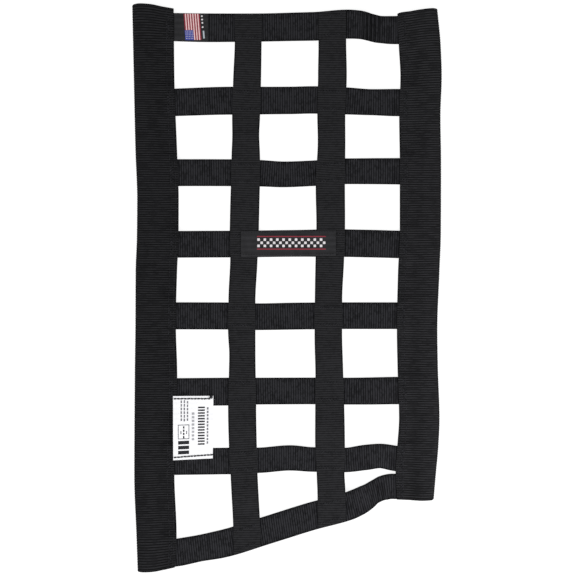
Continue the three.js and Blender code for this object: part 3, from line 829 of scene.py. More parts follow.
@dataclass
class Sleeve:
    """Wide webbing folded lengthwise round the channel of a mounting rod, in millimetres.

    A section is a place along it, its folded edge, its sewn edge and how high the channel's crown stands.
    Each end is a curved cut, from share 0 at the fold to 1 at the sewn edge.
    """

    name: str
    node: str
    sections: Rows
    square_end: Rows
    slanting_end: Rows
    grips: list[tuple[float, float]] = field(default_factory=list)
    width: float = 39.4
    crown_from_fold: float = 5.5
    channel_width: float = 28.0
    channel_fullness: float = 1.6
    seam_grip: float = 10.5
    pinch_length: float = 7.0
    rim_reach: float = 1.5
    round_fold: float = 16.0
    fold_rows: int = 11
    bend_start: float | None = None
    finish: RibbedWebbing = LEFT_SLEEVE_WEBBING

    def __post_init__(self) -> None:
        """Makes the smooth curves through the sections and the two cut ends."""
        self.course = Course(self.sections)
        self.cuts = [Course(self.square_end), Course(self.slanting_end)]
        self.inward = math.copysign(1, self.sections[0][1])

    def grip(self, straps: list[Strap]) -> None:
        """Notes where each strap end lies between the layers, along the sewn edge.

        Args:
            straps: The cross straps, from the square end to the slanting one.
        """
        for strap in straps:
            seam = float(self.course.at(1, strap.course.at(0, 0.0)))
            at = np.array([seam, seam + self.inward * self.seam_grip])
            centre, half = strap.course.at(0, at), strap.course.at(1, at) / 2 + REST_MARGIN
            low = -FAR if strap is straps[-1] else float(min(centre - half))
            high = FAR if strap is straps[0] else float(max(centre + half))
            self.grips.append((low, high))

    def seam_height(self, y: Points) -> Points:
        """The sewn edge's height: two layers, and the strap between them where there is one.

        Args:
            y: Where along the sleeve.

        Returns:
            The height of the upper layer's top.
        """
        shares = [
            1 - smoothstep(np.maximum(low - y, y - high), 0, self.pinch_length) for low, high in self.grips
        ]
        return 2 * SLEEVE_THICKNESS + CLEARANCE + STACK_HEIGHT * np.max(shares, axis=0)

    def bent(self, station: Points, share: Points) -> Points:
        """Bends the stations into the curved cuts at both ends.

        Args:
            station: A straight line across the sleeve.
            share: From 0 at the fold to 1 at the sewn edge.

        Returns:
            Where along the sleeve the point lies.
        """
        y = station
        square_start = self.grips[0][0] if self.bend_start is None else self.bend_start
        for cut, start, outward in zip(self.cuts, (square_start, self.grips[-1][1]), (1, -1)):
            last = cut.columns[-1, 0]
            past = cut.at(0, share) + outward * END_LOOPS - last
            y = y + np.clip((station - start) / (last - start), 0, 1) * past
        return y

    def from_fold(self, turn: Points) -> Points:
        """How far from the folded edge a point of the cloth lies, seen from above.

        Args:
            turn: Round the cloth: 0 at the lower sewn edge, 1 to 2 round the fold, 3 at the upper sewn edge.

        Returns:
            The distance to the middle of the cloth.
        """
        straight = mix(self.width, self.crown_from_fold, np.where(turn <= 1, turn, 3 - turn))
        round_fold = np.cos((0.5 - turn) * math.pi) * (self.crown_from_fold - SLEEVE_THICKNESS / 2)
        return np.where((turn <= 1) | (turn >= 2), straight, self.crown_from_fold + round_fold)

    def surface(self, station: Points, turn: Points, offset: Points) -> Points:
        """Points of the folded cloth.

        Args:
            station: Where along the sleeve.
            turn: Round the cloth: 0 at the lower sewn edge, 1 to 2 round the fold, 3 at the upper sewn edge.
            offset: How far out of the middle of the cloth.

        Returns:
            X, Y and Z in the last axis.
        """
        station, turn, offset = np.broadcast_arrays(np.asarray(station, float), turn, offset)
        half = SLEEVE_THICKNESS / 2
        crown_at, width = self.crown_from_fold, self.width
        angle = (0.5 - turn) * math.pi
        reach = crown_at - half
        lower, upper = turn <= 1, turn >= 2
        from_fold = self.from_fold(turn)
        y = self.bent(station, from_fold / width)
        outer, seam, crown = (self.course.at(column, y) for column in range(3))
        seam_height = self.seam_height(y)
        rise = crown / 2 - half
        share = np.clip((from_fold - crown_at) / (self.channel_width - crown_at), 0, 1)
        fullness = np.cos(share**self.channel_fullness * math.pi / 2) ** 2
        upper_z = mix(seam_height, crown, fullness) - half
        z = np.where(lower, half, np.where(upper, upper_z, crown / 2 + rise * np.sin(angle)))
        length = np.hypot(np.cos(angle) * rise, np.sin(angle) * reach)
        out_x = np.where(lower | upper, 0, np.cos(angle) * rise / length)
        out_z = np.where(lower, -1, np.where(upper, 1, np.sin(angle) * reach / length))
        outer, seam = outer + self.inward * FOLD_LOOPS, seam - self.inward * SEAM_LOOPS
        x = mix(outer, seam, (from_fold + offset * out_x) / width)
        return np.stack((x, y, z + offset * out_z), -1)

    def upper_turn(self, from_seam: Points) -> Points:
        """The turn of a point on the upper layer that far from the sewn edge."""
        return 3 - from_seam / (self.width - self.crown_from_fold)

    def build(self) -> bpy.types.Object:
        """Weaves the sleeve, rib by rib, and folds it.

        Returns:
            The sleeve, dressed.
        """
        bottom, top = self.slanting_end[-1][1], self.square_end[-1][1]
        ribs = round((top - bottom) / RIB_PITCH)
        marks, sinks = rib_marks(ribs)
        turn = np.concatenate((LOWER_SHARES, np.linspace(1, 2, self.fold_rows), 2 + UPPER_SHARES))[None, :]
        share = 2 * self.from_fold(turn) / self.width - 1
        station = mix(bottom, top, marks / ribs)[:, None] + rib_sway(marks[:, None], share, self.inward)
        if self.inward < 0:
            station, marks, sinks = station[::-1], marks[::-1], sinks[::-1]
        from_edge = np.minimum(turn, 3 - turn) * (self.width - self.crown_from_fold)
        past = 1 - np.clip(from_edge / self.rim_reach, 0, 1)
        rim = RIM_THINNEST + (1 - RIM_THINNEST) * np.sqrt(1 - past**2)
        half = SLEEVE_THICKNESS / 2 * rim
        outside = self.surface(station, turn, half - sinks[:, None] * rim)
        inside = self.surface(station, turn, -half)
        flat = 2 * (self.width - self.crown_from_fold) + self.round_fold
        bends = [(flat - self.round_fold) / 2, (flat + self.round_fold) / 2]
        across = np.interp(turn, [0, 1, 2, 3], [0, *bends, flat])
        along = marks[:, None] * RIB_PITCH
        # Painted shade: the cloth darkens towards its sewn edges, except where a strap is held, towards the
        # fold, where it turns away from the light, and at its cut ends
        held = (self.seam_height(station) - 2 * SLEEVE_THICKNESS - CLEARANCE) / STACK_HEIGHT
        seam = np.minimum(across, flat - across) + HELD_RIM_SHADE_SHIFT * held
        painted_shade_limits = (seam, self.from_fold(turn) - SLEEVE_THICKNESS / 2, along, ribs * RIB_PITCH - along)
        edge = np.min(np.broadcast_arrays(*painted_shade_limits), axis=0)
        weave = np.stack(np.broadcast_arrays(along, edge, across), -1)
        cloth = sheet_between(self.name, self.finish, outside, inside, weave)
        return dress(cloth, self.node)


@dataclass
class Stitching:
    """Rows of sewing thread, in millimetres: each stitch is an arch with both ends sunk in the cloth."""

    name: str
    radius: float = 0.3
    length: float = 2.7
    pitch: float = 3.5
    arch: float = 0.16
    shoulder: float = 0.05
    sunk: float = 0.3
    pressed: float = 1.1
    zigzag_step: float = 1.45
    corners: int = 6
    parts: MeshParts = field(default_factory=MeshParts)

    def sew(self, starts: Points, ends: Points, side: float = 1) -> None:
        """Adds stitches; those on the underside are pressed in, flush with the ribs.

        Args:
            starts: Where each goes into the cloth, one row each.
            ends: Where it comes out.
            side: 1 on the upper side of the cloth, -1 on the underside.
        """
        corners, up = self.corners, np.array([0, 0, 1])
        swell = STITCH_SWELL * self.radius
        lift = np.array([-self.sunk, self.shoulder, self.arch, self.shoulder, -self.sunk]) * side
        if side < 0:
            lift = lift + self.arch + self.pressed * self.radius
        around = np.arange(corners) / corners * 2 * math.pi
        near = np.arange((len(STITCH_MARKS) - 1) * corners)
        turned = near // corners * corners + (near + 1) % corners
        tube = np.stack((near + corners, turned + corners, turned, near), -1).tolist()
        first, last = list(range(corners)), [near[-1] + 1 + k for k in reversed(range(corners))]
        for start, end in zip(starts, ends):
            run = end - start
            sideways = np.array([-run[1], run[0], 0]) / max(math.hypot(run[0], run[1]), 1e-6)
            middle = start + STITCH_MARKS[:, None] * run + up[None, :] * lift[:, None]
            ring = np.cos(around)[:, None] * sideways + np.sin(around)[:, None] * up
            points = middle[:, None, :] + swell[:, None, None] * ring[None]
            self.parts.add(points.reshape(-1, 3), [*tube, first, last])

    def row(self, path: Callable[[Points], Points], start: float, end: float, side: float = 1) -> None:
        """Sews a straight row.

        Args:
            path: Gives the points at distances along the row.
            start: Where the row starts.
            end: Where it ends.
            side: 1 on the upper side of the cloth, -1 on the underside.
        """
        at = np.arange(start, end - self.length, self.pitch)
        self.sew(path(at), path(at + self.length), side)

    def corners_of(self, start: float, end: float) -> tuple[Points, Points]:
        """Where the corners of a zigzag lie along it, and how far off it, -1 and 1 in turn."""
        at = np.arange(start, end, self.zigzag_step)
        return at, np.where(np.arange(len(at)) % 2, 1.0, -1.0)

    def zigzag(self, points: Points, side: float = 1) -> None:
        """Sews from each corner to the next, on the upper side of the cloth, or with -1 on the underside."""
        self.sew(points[:-1], points[1:], side)

    def build(self) -> bpy.types.Object:
        """Makes the thread into one piece.

        Returns:
            The stitching, dressed.
        """
        return dress(self.parts.build(self.name, BLACK_THREAD))


@dataclass
class Motif:
    """Flat shapes of one colour on a label, in millimetres: woven floats or print, just proud of it."""

    name: str
    finish: Finish
    slot: Slot
    height: Callable[[Points, Points], Points]
    proud: float = 0.07
    sunk: float = 0.12
    cell: tuple[float, float] = (0.7, 3.0)
    parts: MeshParts = field(default_factory=MeshParts)

    def bar(self, corners: Sequence[tuple[float, float]], steps: Sequence[int] = (1, 8)) -> None:
        """Adds a four-cornered shape.

        Args:
            corners: Its corners in turn, anticlockwise from above, each an X and a Y.
            steps: How finely it follows the label from the first corner to the second, and to the fourth.
        """
        first, second, third, fourth = (np.asarray(corner, float) for corner in corners)
        u = np.linspace(0, 1, steps[0] + 1)[:, None, None]
        v = np.linspace(0, 1, steps[1] + 1)[None, :, None]
        flat = mix(mix(first, second, u), mix(fourth, third, u), v)
        z = self.height(flat[..., 0], flat[..., 1])[..., None]
        levels = [np.concatenate((flat, z + lift), -1).reshape(-1, 3) for lift in (self.proud, -self.sunk)]
        self.parts.add(np.concatenate(levels), shell_faces(*flat.shape[:2]))

    def box(self, left: float, right: float, low: float, high: float) -> None:
        """Adds an upright rectangle, fine enough along X to follow a label that climbs."""
        steps = (max(1, round((right - left) / self.cell[0])), max(1, round((high - low) / self.cell[1])))
        self.bar(((left, low), (right, low), (right, high), (left, high)), steps)

    def dot(self, x: float, y: float, radius: float, corners: int = 12) -> None:
        """Adds a round dot.

        Args:
            x: Its middle.
            y: Its middle.
            radius: Its radius.
            corners: How many corners its outline has.
        """
        around = np.arange(corners) / corners * 2 * math.pi
        flat = np.stack((x + radius * np.cos(around), y + radius * np.sin(around)), -1)
        z = self.height(flat[:, 0], flat[:, 1])[:, None]
        ring = list(range(corners))
        sides = [[k, k + corners, (k + 1) % corners + corners, (k + 1) % corners] for k in ring]
        faces = [ring, [k + corners for k in reversed(ring)], *sides]
        levels = [np.concatenate((flat, z + lift), -1) for lift in (self.proud, -self.sunk)]
        self.parts.add(np.concatenate(levels), faces)

    def build(self) -> bpy.types.Object:
        """Makes the shapes into one piece.

        Returns:
            The motif, dressed.
        """
        return dress(self.parts.build(self.name, self.finish))


@dataclass(kw_only=True)
class Label:
    """A flat label sewn on top of the webbing, in millimetres."""

    rests_on: tuple[str, ...]
    thickness: float = LABEL_THICKNESS

    def under(self, x: Points, y: Points) -> Points:
        """The height of the label's underside at any place on it; each kind of label has its own."""
        raise NotImplementedError

    def top(self, x: Points, y: Points) -> Points:
        """The height of the label's face at any place on it."""
        return self.under(x, y) + self.thickness

    def cut(self) -> tuple[float, float]:
        """The width and length that it was cut to, in metres; each kind of label has its own."""
        raise NotImplementedError

    def build(self) -> list[bpy.types.Object]:
        """Builds the label and the pieces on it; each kind of label has its own."""
        raise NotImplementedError


@dataclass(kw_only=True)
class Ribbon(Label):
    """A black satin ribbon that lies along a cross strap, with its long edges curled down."""

    strap: Strap
    start: float
    end: float
    width: float
    steps: int
    curl: float = 0.3
    curl_start: float = 0.9

    def under(self, x: Points, y: Points) -> Points:
        """The height of the ribbon's underside, which is level across it."""
        return self.strap.underside(x) + STRAP_THICKNESS + LABEL_CLEARANCE

    def face(self, x: Points, off: float) -> Points:
        """Points of the ribbon's face, at some distance from the strap's centre line."""
        return np.stack((x, self.strap.course.at(0, x) + off, self.top(x, x)), -1)

    def cut(self) -> tuple[float, float]:
        """The width and length that the ribbon was cut to, in metres."""
        return self.width * MM, (self.end - self.start) * MM

    def weave(self, name: str) -> bpy.types.Object:
        """Weaves the ribbon itself.

        Args:
            name: The piece's name.

        Returns:
            The ribbon.
        """
        x = np.linspace(self.start, self.end, self.steps)[:, None]
        share = RIBBON_SHARES[None, :]
        y = self.strap.course.at(0, x) + share * self.width / 2
        x = np.broadcast_to(x, y.shape)
        z = self.under(x, y)
        curl = self.curl * np.clip((np.abs(share) - self.curl_start) / (1 - self.curl_start), 0, 1) ** 2
        upper = np.stack((x, y, z + self.thickness - curl), -1)
        return sheet_between(name, BLACK_SATIN, upper, np.stack((x, y, z), -1))


@dataclass(kw_only=True)
class SatinLabel(Ribbon):
    """The ribbon on the fourth cross strap, whose ends climb over both uprights.

    Its chequered band starts at a place along X, and is centred a little above the strap's centre line.
    """

    left: Crossing
    right: Crossing
    rests_on: tuple[str, ...] = ("cross_strap_4", "upright_left", "upright_right")
    start: float = -44.2
    end: float = 47.0
    width: float = 24.4
    steps: int = 122
    ramp: float = 8.0
    sewn_inset: float = 1.6
    sewn_short: float = 1.5
    square: float = 3.0
    inset: float = 0.3
    squares: tuple[int, int] = (22, 3)
    band_start: float = -28.8
    band_level_at: float = 4.0
    band_lift: float = 0.6
    line_width: float = 0.9
    line_places: tuple[float, float] = (-2.0, 1.1)

    def under(self, x: Points, y: Points) -> Points:
        """The height of the label's underside: on the strap, and on the uprights at both ends.

        Args:
            x: Where along the label.
            y: Where across it, which makes no difference.

        Returns:
            The height over the floor.
        """
        drop, climb = self.left.x + self.left.half_x, self.right.x - self.right.half_x
        off_left = smoothstep(x, drop, drop + self.ramp)
        on_right = smoothstep(x, climb - self.ramp, climb)
        return super().under(x, y) + STACK_HEIGHT * (1 - off_left + on_right)

    def build(self) -> list[bpy.types.Object]:
        """Weaves the ribbon and its chequered band.

        Returns:
            The ribbon and the pieces on it.
        """
        ribbon = dress(self.weave("satin_label"), "centre_label")
        white = Motif("label_white_squares", WHITE_FLOAT, Slot.BLACK_SATIN, self.top)
        red = Motif("label_red_line", RED_FLOAT, Slot.BLACK_SATIN, self.top)
        columns, rows = self.squares
        height = rows * self.square
        low = float(self.strap.course.at(0, self.band_level_at)) + self.band_lift - height / 2
        side = self.square - 2 * self.inset
        for column in range(columns):
            for row in range(column % 2, rows, 2):
                left = self.band_start + column * self.square + self.inset
                base = low + row * self.square + self.inset
                white.box(left, left + side, base, base + side)
        below, above = self.line_places
        for base in (low + below, low + height + above):
            red.box(self.band_start, self.band_start + columns * self.square, base, base + self.line_width)
        return [ribbon, white.build(), red.build()]


@dataclass(kw_only=True)
class FlagRibbon(Ribbon):
    """The ribbon with a flag on its side, beside the left sleeve on the first cross strap.

    The field and the bar are a left, a right, a lower and an upper edge, before the flag leans.
    """

    rests_on: tuple[str, ...] = ("cross_strap_1",)
    start: float = -108.3
    end: float = -75.8
    width: float = 26.6
    steps: int = 46
    flag_left: float = -99.3
    stripe: float = 1.18
    gap: float = 0.1
    stripes: int = 13
    low: float = 238.2
    high: float = 263.4
    tilt: float = 2.0
    blue_field: tuple[float, float, float, float] = (-99.5, -91.3, 238.0, 247.6)
    spot_grid: int = 5
    spot_first: tuple[float, float] = (-98.4, 239.6)
    spot_pitch: tuple[float, float] = (1.5, 1.75)
    spot_radius: float = 0.33
    dots: Rows = ((-82.0, 261.0), (-82.0, 257.8), (-82.0, 254.6), (-82.0, 250.5))
    dot_radius: float = 0.85
    bar: tuple[float, float, float, float] = (-82.3, -80.8, 239.6, 247.0)

    def lean(self, x: float, y: float) -> tuple[float, float]:
        """Leans a point of the flag with the ribbon, which was sewn on a little askew."""
        return x + self.tilt * (self.high - y) / (self.high - self.low), y

    def leaning_bar(self, motif: Motif, left: float, right: float, low: float, high: float) -> None:
        """Adds a leaning bar to a motif."""
        motif.bar([self.lean(x, y) for x, y in ((left, low), (right, low), (right, high), (left, high))])

    def build(self) -> list[bpy.types.Object]:
        """Weaves the ribbon and its flag.

        Returns:
            The ribbon and the pieces on it.
        """
        ribbon = dress(self.weave("flag_ribbon"), "flag_label")
        red = Motif("flag_red_stripes", RED_FLOAT, Slot.FLAG_WEAVE, self.top)
        white = Motif("flag_white_stripes", PINK_FLOAT, Slot.FLAG_WEAVE, self.top)
        blue = Motif("flag_blue_field", BLUE_FLOAT, Slot.FLAG_WEAVE, self.top, proud=0.12)
        spots = Motif("flag_spots", WHITE_FLOAT, Slot.FLAG_WEAVE, self.top, proud=0.2)
        dash = Motif("flag_dash", GREY_FLOAT, Slot.FLAG_WEAVE, self.top)
        for number in range(self.stripes):
            left = self.flag_left + number * self.stripe
            right = left + self.stripe - self.gap
            self.leaning_bar(white if number % 2 else red, left, right, self.low, self.high)
        self.leaning_bar(blue, *self.blue_field)
        for column in range(self.spot_grid):
            for row in range(self.spot_grid):
                x, y = np.add(self.spot_first, np.multiply((column, row), self.spot_pitch))
                spots.dot(*self.lean(x, y), radius=self.spot_radius, corners=8)
        for dot in self.dots:
            spots.dot(*self.lean(*dot), radius=self.dot_radius)
        self.leaning_bar(dash, *self.bar)
        return [ribbon, *(motif.build() for motif in (red, white, blue, spots, dash))]


@dataclass(kw_only=True)
class TaffetaTag(Label):
    """The white tag that bridges two cross straps and climbs on to the left sleeve.

    Its corners are given on the sleeve and at the free edge, at the square end and then the slanting one.
    Its size is what shows from above, and its flat size what it was cut to, in metres. A row of print is
    blocks of one size: their left, right and top, and then their length, pitch and number, in millimetres
    from the tag's corner on the sleeve. The frame is a left, right, top and bottom, and its line's width.
    A hem is how far its stitches lie from the square end at the sleeve and at the free edge, and where
    they start and end. The knot is a loose thread end at the free corner.
    """

    upper: Strap
    lower: Strap
    sleeve: Sleeve
    rests_on: tuple[str, ...] = ("cross_strap_6", "cross_strap_7", "sleeve_left")
    corners: Rows = ((-109.4, -103.8), (-70.7, -103.6), (-109.2, -165.3), (-71.3, -163.6))
    size: tuple[float, float] = (38.4, 60.8)
    flat_size: tuple[float, float] = (0.0387, 0.0615)
    steps: tuple[int, int] = (41, 61)
    bow: float = 0.8
    ramp: float = 12.0
    thickness: float = 0.45
    ink_height: float = 0.05
    cell: tuple[float, float] = (0.8, 2.0)
    pale_rows: Rows = ((17.9, 20.4, 15.8, 2.2, 3.5, 8),)
    grey_rows: Rows = (
        (7.2, 8.6, 4.2, 2.5, 3.4, 6), (10.1, 11.5, 4.0, 2.7, 3.5, 6), (13.1, 14.5, 4.8, 2.4, 3.3, 6),
        (32.3, 33.9, 11.0, 2.3, 3.3, 11), (7.0, 8.1, 33.3, 3.0, 3.0, 1), (12.4, 13.5, 33.3, 3.0, 3.0, 1),
    )
    black_rows: Rows = (
        (23.8, 30.4, 10.3, 1.5, 2.72, 14), (4.8, 15.4, 42.8, 3.3, 4.7, 3), (9.5, 10.9, 28.8, 2.2, 3.1, 4),
    )
    frame: tuple[float, float, float, float, float] = (4.6, 15.6, 27.2, 41.2, 0.8)
    hems: Rows = ((2.5, 2.8, 0.4, 36.8), (58.3, 57.2, 0.4, 39.0))
    waver: float = 0.15
    waver_turn: float = 1.1
    knot: Rows = (
        (-74.6, -106.4), (-72.6, -103.2), (-73.6, -104.6), (-71.8, -105.2),
        (-73.9, -103.4), (-72.2, -106.2), (-71.9, -102.6), (-73.2, -105.6),
    )
    knot_height: float = 0.35

    def flat(self, over: Points, down: Points) -> tuple[Points, Points]:
        """Places on the tag in X and Y.

        Args:
            over: From 0 on the sleeve to 1 at the free edge.
            down: From 0 at the square end to 1 at the slanting one.

        Returns:
            X and Y.
        """
        fold, free, slant_fold, slant_free = self.corners
        x, y = (
            mix(mix(fold[axis], free[axis], over), mix(slant_fold[axis], slant_free[axis], over), down)
            for axis in (0, 1)
        )
        return x, y

    def place(self, right: Points, down: Points) -> tuple[Points, Points]:
        """Turns millimetres from the tag's corner on the sleeve into X and Y."""
        return self.flat(right / self.size[0], down / self.size[1])

    def edge_of(self, strap: Strap, side: float) -> float:
        """Where a strap's edge lies under the middle of the tag."""
        middle = (self.corners[0][0] + self.corners[1][0]) / 2
        return float(strap.course.at(0, middle) + side * strap.course.at(1, middle) / 2)

    def under(self, x: Points, y: Points) -> Points:
        """The height of the tag's underside: on two straps, bowed between them, and up on the sleeve.

        Args:
            x: Where on the tag.
            y: Where on the tag.

        Returns:
            The height over the floor.
        """
        climb = self.sleeve.course.at(1, y) + REST_MARGIN
        on_lower = 1 - smoothstep(y, self.edge_of(self.lower, 1), self.edge_of(self.upper, -1))
        on_sleeve = 1 - smoothstep(x, climb, climb + self.ramp)
        straps = mix(self.upper.underside(x), self.lower.underside(x), on_lower) + STRAP_THICKNESS
        bowed = self.bow * np.sin(math.pi * on_lower)
        return straps + CLEARANCE + on_sleeve * (SLEEVE_THICKNESS + CLEARANCE) + bowed

    def cut(self) -> tuple[float, float]:
        """The width and length that the tag was cut to, in metres."""
        return self.flat_size

    def hem_path(self, right: Points, first: float, last: float) -> Points:
        """Points of a hem's row of stitches, which wavers a little.

        Args:
            right: How far from the tag's corner on the sleeve towards the free edge.
            first: How far the row lies from the square end at the sleeve.
            last: And at the free edge.

        Returns:
            X, Y and Z in the last axis.
        """
        down = mix(first, last, right / self.size[0]) + self.waver * np.sin(right * self.waver_turn)
        x, y = self.place(right, down)
        return np.stack((x, y, self.top(x, y)), -1)

    def block(self, motif: Motif, left: float, right: float, top: float, bottom: float) -> None:
        """Adds a block of print, given from the tag's corner on the sleeve."""
        corners = [self.place(x, y) for x, y in ((left, bottom), (right, bottom), (right, top), (left, top))]
        motif.bar(corners, [max(2, round(s / c)) for s, c in zip((right - left, bottom - top), self.cell)])

    def build(self) -> list[bpy.types.Object]:
        """Cuts the tag and prints plain rules and blocks on it.

        Returns:
            The tag and the pieces on it.
        """
        over, down = np.linspace(0, 1, self.steps[0])[:, None], np.linspace(1, 0, self.steps[1])[None, :]
        x, y = self.flat(over, down)
        z = self.under(x, y)
        upper, lower = np.stack((x, y, z + self.thickness), -1), np.stack((x, y, z), -1)
        cloth = sheet_between("taffeta_tag", WHITE_TAFFETA, upper, lower)
        tag = dress(cloth, "white_tag")
        inks = {"tag_pale_rules": PALE_INK, "tag_grey_rules": GREY_INK, "tag_black_bars": BLACK_INK}
        prints = [
            Motif(name, ink, Slot.WHITE_TAFFETA, self.top, proud=self.ink_height)
            for name, ink in inks.items()
        ]
        for motif, rows in zip(prints, (self.pale_rows, self.grey_rows, self.black_rows)):
            for left, right, top, length, pitch, count in rows:
                for number in range(round(count)):
                    self.block(motif, left, right, top + number * pitch, top + number * pitch + length)
        left, right, top, bottom, line = self.frame
        for side in (left, right - line):
            self.block(prints[1], side, side + line, top, bottom)
        for end in (top, bottom - line):
            self.block(prints[1], left + line, right - line, end, end + line)
        return [tag, *(motif.build() for motif in prints)]


CROSS_STRAPS = (
    Strap(
        "webbing_strap_1", "cross_strap_1", Run.ACROSS,
        ((-119, 250.8, 26.4), (-75, 250, 27), (-25, 250.3, 26.5), (26, 251.2, 27), (58, 253.3, 27.4),
         (70, 252.5, 26.8), (80, 250.4, 25.6), (90, 248.2, 25.6), (99, 247.7, 26.4), (118, 248, 26.8)),
        ((3, 24, 1.5), (69, 11, 2.2), (83, 9, -1.6), (95, 8, 1)),
        creases=((73.4, 1.3, 0.5, 0.7), (76.8, 1.5, 0.9, 0.85), (80.6, 1.7, 1, 0.9), (84.3, 1.2, 0.6, 0.8),
                 (88.6, 1.4, 0.6, 0.7)),
        squareness=0.1,
    ),
    Strap(
        "webbing_strap_2", "cross_strap_2", Run.ACROSS,
        ((-119, 177.9, 25.6), (-93, 178.8, 26), (-54, 180, 26.3), (3, 180.2, 25.8), (24, 180.7, 25.8),
         (58, 179.7, 25.4), (80, 178.4, 24.5), (104, 178.1, 25.6), (119, 178.1, 25.6)),
        ((-80, 24, 1.2), (2, 25, 0.8), (82, 22, 2.2)),
    ),
    Strap(
        "webbing_strap_3", "cross_strap_3", Run.ACROSS,
        ((-117, 110.8, 25.3), (-55, 110.8, 25.3), (-27, 110.3, 24.9), (-3, 109.1, 24.2), (24, 110.2, 24),
         (58, 112.2, 24.2), (119, 112.1, 25)),
        ((-78, 22, 0.9), (0, 26, 2.4), (82, 22, 1)),
    ),
    Strap(
        "webbing_strap_4", "cross_strap_4", Run.ACROSS,
        ((-116, 41.9, 25.1), (-55, 42.2, 25.1), (0, 42.8, 25.1), (45, 43.2, 25.9), (80, 42.6, 26),
         (106, 41.9, 25.9), (119, 41.7, 25.9)),
        ((-78, 22, 1.4), (0, 24, 0.6), (82, 20, 1.2)),
    ),
    Strap(
        "webbing_strap_5", "cross_strap_5", Run.ACROSS,
        ((-118, -26.7, 25.5), (-55, -26.9, 25.5), (-28, -27.6, 25.1), (10, -27, 25.3), (58, -26.6, 25.1),
         (117, -26.6, 25.1)),
        ((-80, 22, 0.8), (-2, 25, 1.6), (80, 22, 0.8)),
    ),
    Strap(
        "webbing_strap_6", "cross_strap_6", Run.ACROSS,
        ((-117, -100, 26.1), (-62, -99.6, 26.2), (-28, -99.1, 25.2), (26, -98.9, 25.1), (58, -99.1, 25.3),
         (106, -98.5, 25.8), (118, -98.4, 25.8)),
        ((0, 25, 1), (82, 22, 1.8)),
    ),
    Strap(
        "webbing_strap_7", "cross_strap_7", Run.ACROSS,
        ((-119, -166.9, 25), (-55, -166.2, 25), (-26, -165.5, 23.8), (3, -163.1, 23.8), (24, -164.7, 23.1),
         (56, -165.2, 23), (75, -162.7, 23.8), (89, -161.2, 23), (102, -163.3, 23.8), (116, -165.5, 24)),
        ((2, 26, 3), (82, 22, 3.6)),
        squareness=0.25,
    ),
    Strap(
        "webbing_strap_8", "cross_strap_8", Run.ACROSS,
        ((-118, -255.6, 25.8), (-104.6, -253.9, 26), (-83.5, -249.8, 25), (-64, -246.2, 26.2),
         (-53, -243.5, 26.3), (-26, -234.9, 26.3), (22, -219.7, 26.3), (58, -209.8, 26.5), (68, -205.5, 25.7),
         (76, -200.8, 23.9), (82, -196.9, 21.5), (87, -194.3, 21.8), (93, -191.9, 23.3), (101, -190.5, 23.8),
         (116, -190.9, 24)),
        ((-78, 22, 1.5), (-2, 24, 1.2), (77, 15, 3), (94, 8, -1)),
        creases=((82, 4.5, 0.7, 0.12), (87.2, 1.3, 0.8, 0.45), (91.3, 1.1, 0.3, 0.2)),
        squareness=0.5,
    ),
)

UPRIGHTS = (
    Strap(
        "webbing_upright_left", "upright_left", Run.UPRIGHT,
        ((268, -37.1, 25.3), (236, -37.3, 25.2), (197, -38.4, 26.2), (165, -39.3, 26.2), (147, -39.6, 25.3),
         (125, -39.6, 26.8), (75, -40.6, 27.4), (57, -41, 27.4), (28, -41.4, 25.6), (-12, -43.3, 25.3),
         (-40, -43.5, 25.7), (-64, -42.9, 24.6), (-115, -43.1, 26.4), (-151, -42.4, 26.2),
         (-180, -41.2, 25.3), (-228, -38.8, 25.3), (-264, -38, 25.3)),
        ((214, 20, 1), (145, 20, 1.8), (77, 20, 0.8), (8, 20, 1.6), (-62, 20, -0.8), (-132, 19, 1.2),
         (-198, 18, 2.4)),
        lifts=(0.5, 0, 0, 0, 0, 0, 0, 0.5),
        finish=UPRIGHT_WEBBING,
    ),
    Strap(
        "webbing_upright_right", "upright_right", Run.UPRIGHT,
        ((270, 43.3, 26), (236, 43.5, 26), (204, 43.6, 27), (165, 42.5, 26.3), (142, 42.8, 25.9),
         (96, 41.6, 27.5), (62, 42, 27), (27, 41.1, 26.8), (-10, 39.9, 25.7), (-45, 39.7, 25.9),
         (-80, 40.6, 26.1), (-120, 41.1, 27.5), (-148, 41.3, 28), (-180, 41.9, 26.1), (-195, 42.6, 26.3),
         (-238, 43.2, 26.3)),
        ((214, 20, 1.4), (145, 20, 0.8), (77, 20, 1.4), (8, 20, -0.7), (-62, 20, 1.2), (-132, 19, 1.9)),
        lifts=(3.2, 0.5, 0, 0, 0, 0, 0.8, 2),
        finish=UPRIGHT_WEBBING,
    ),
)

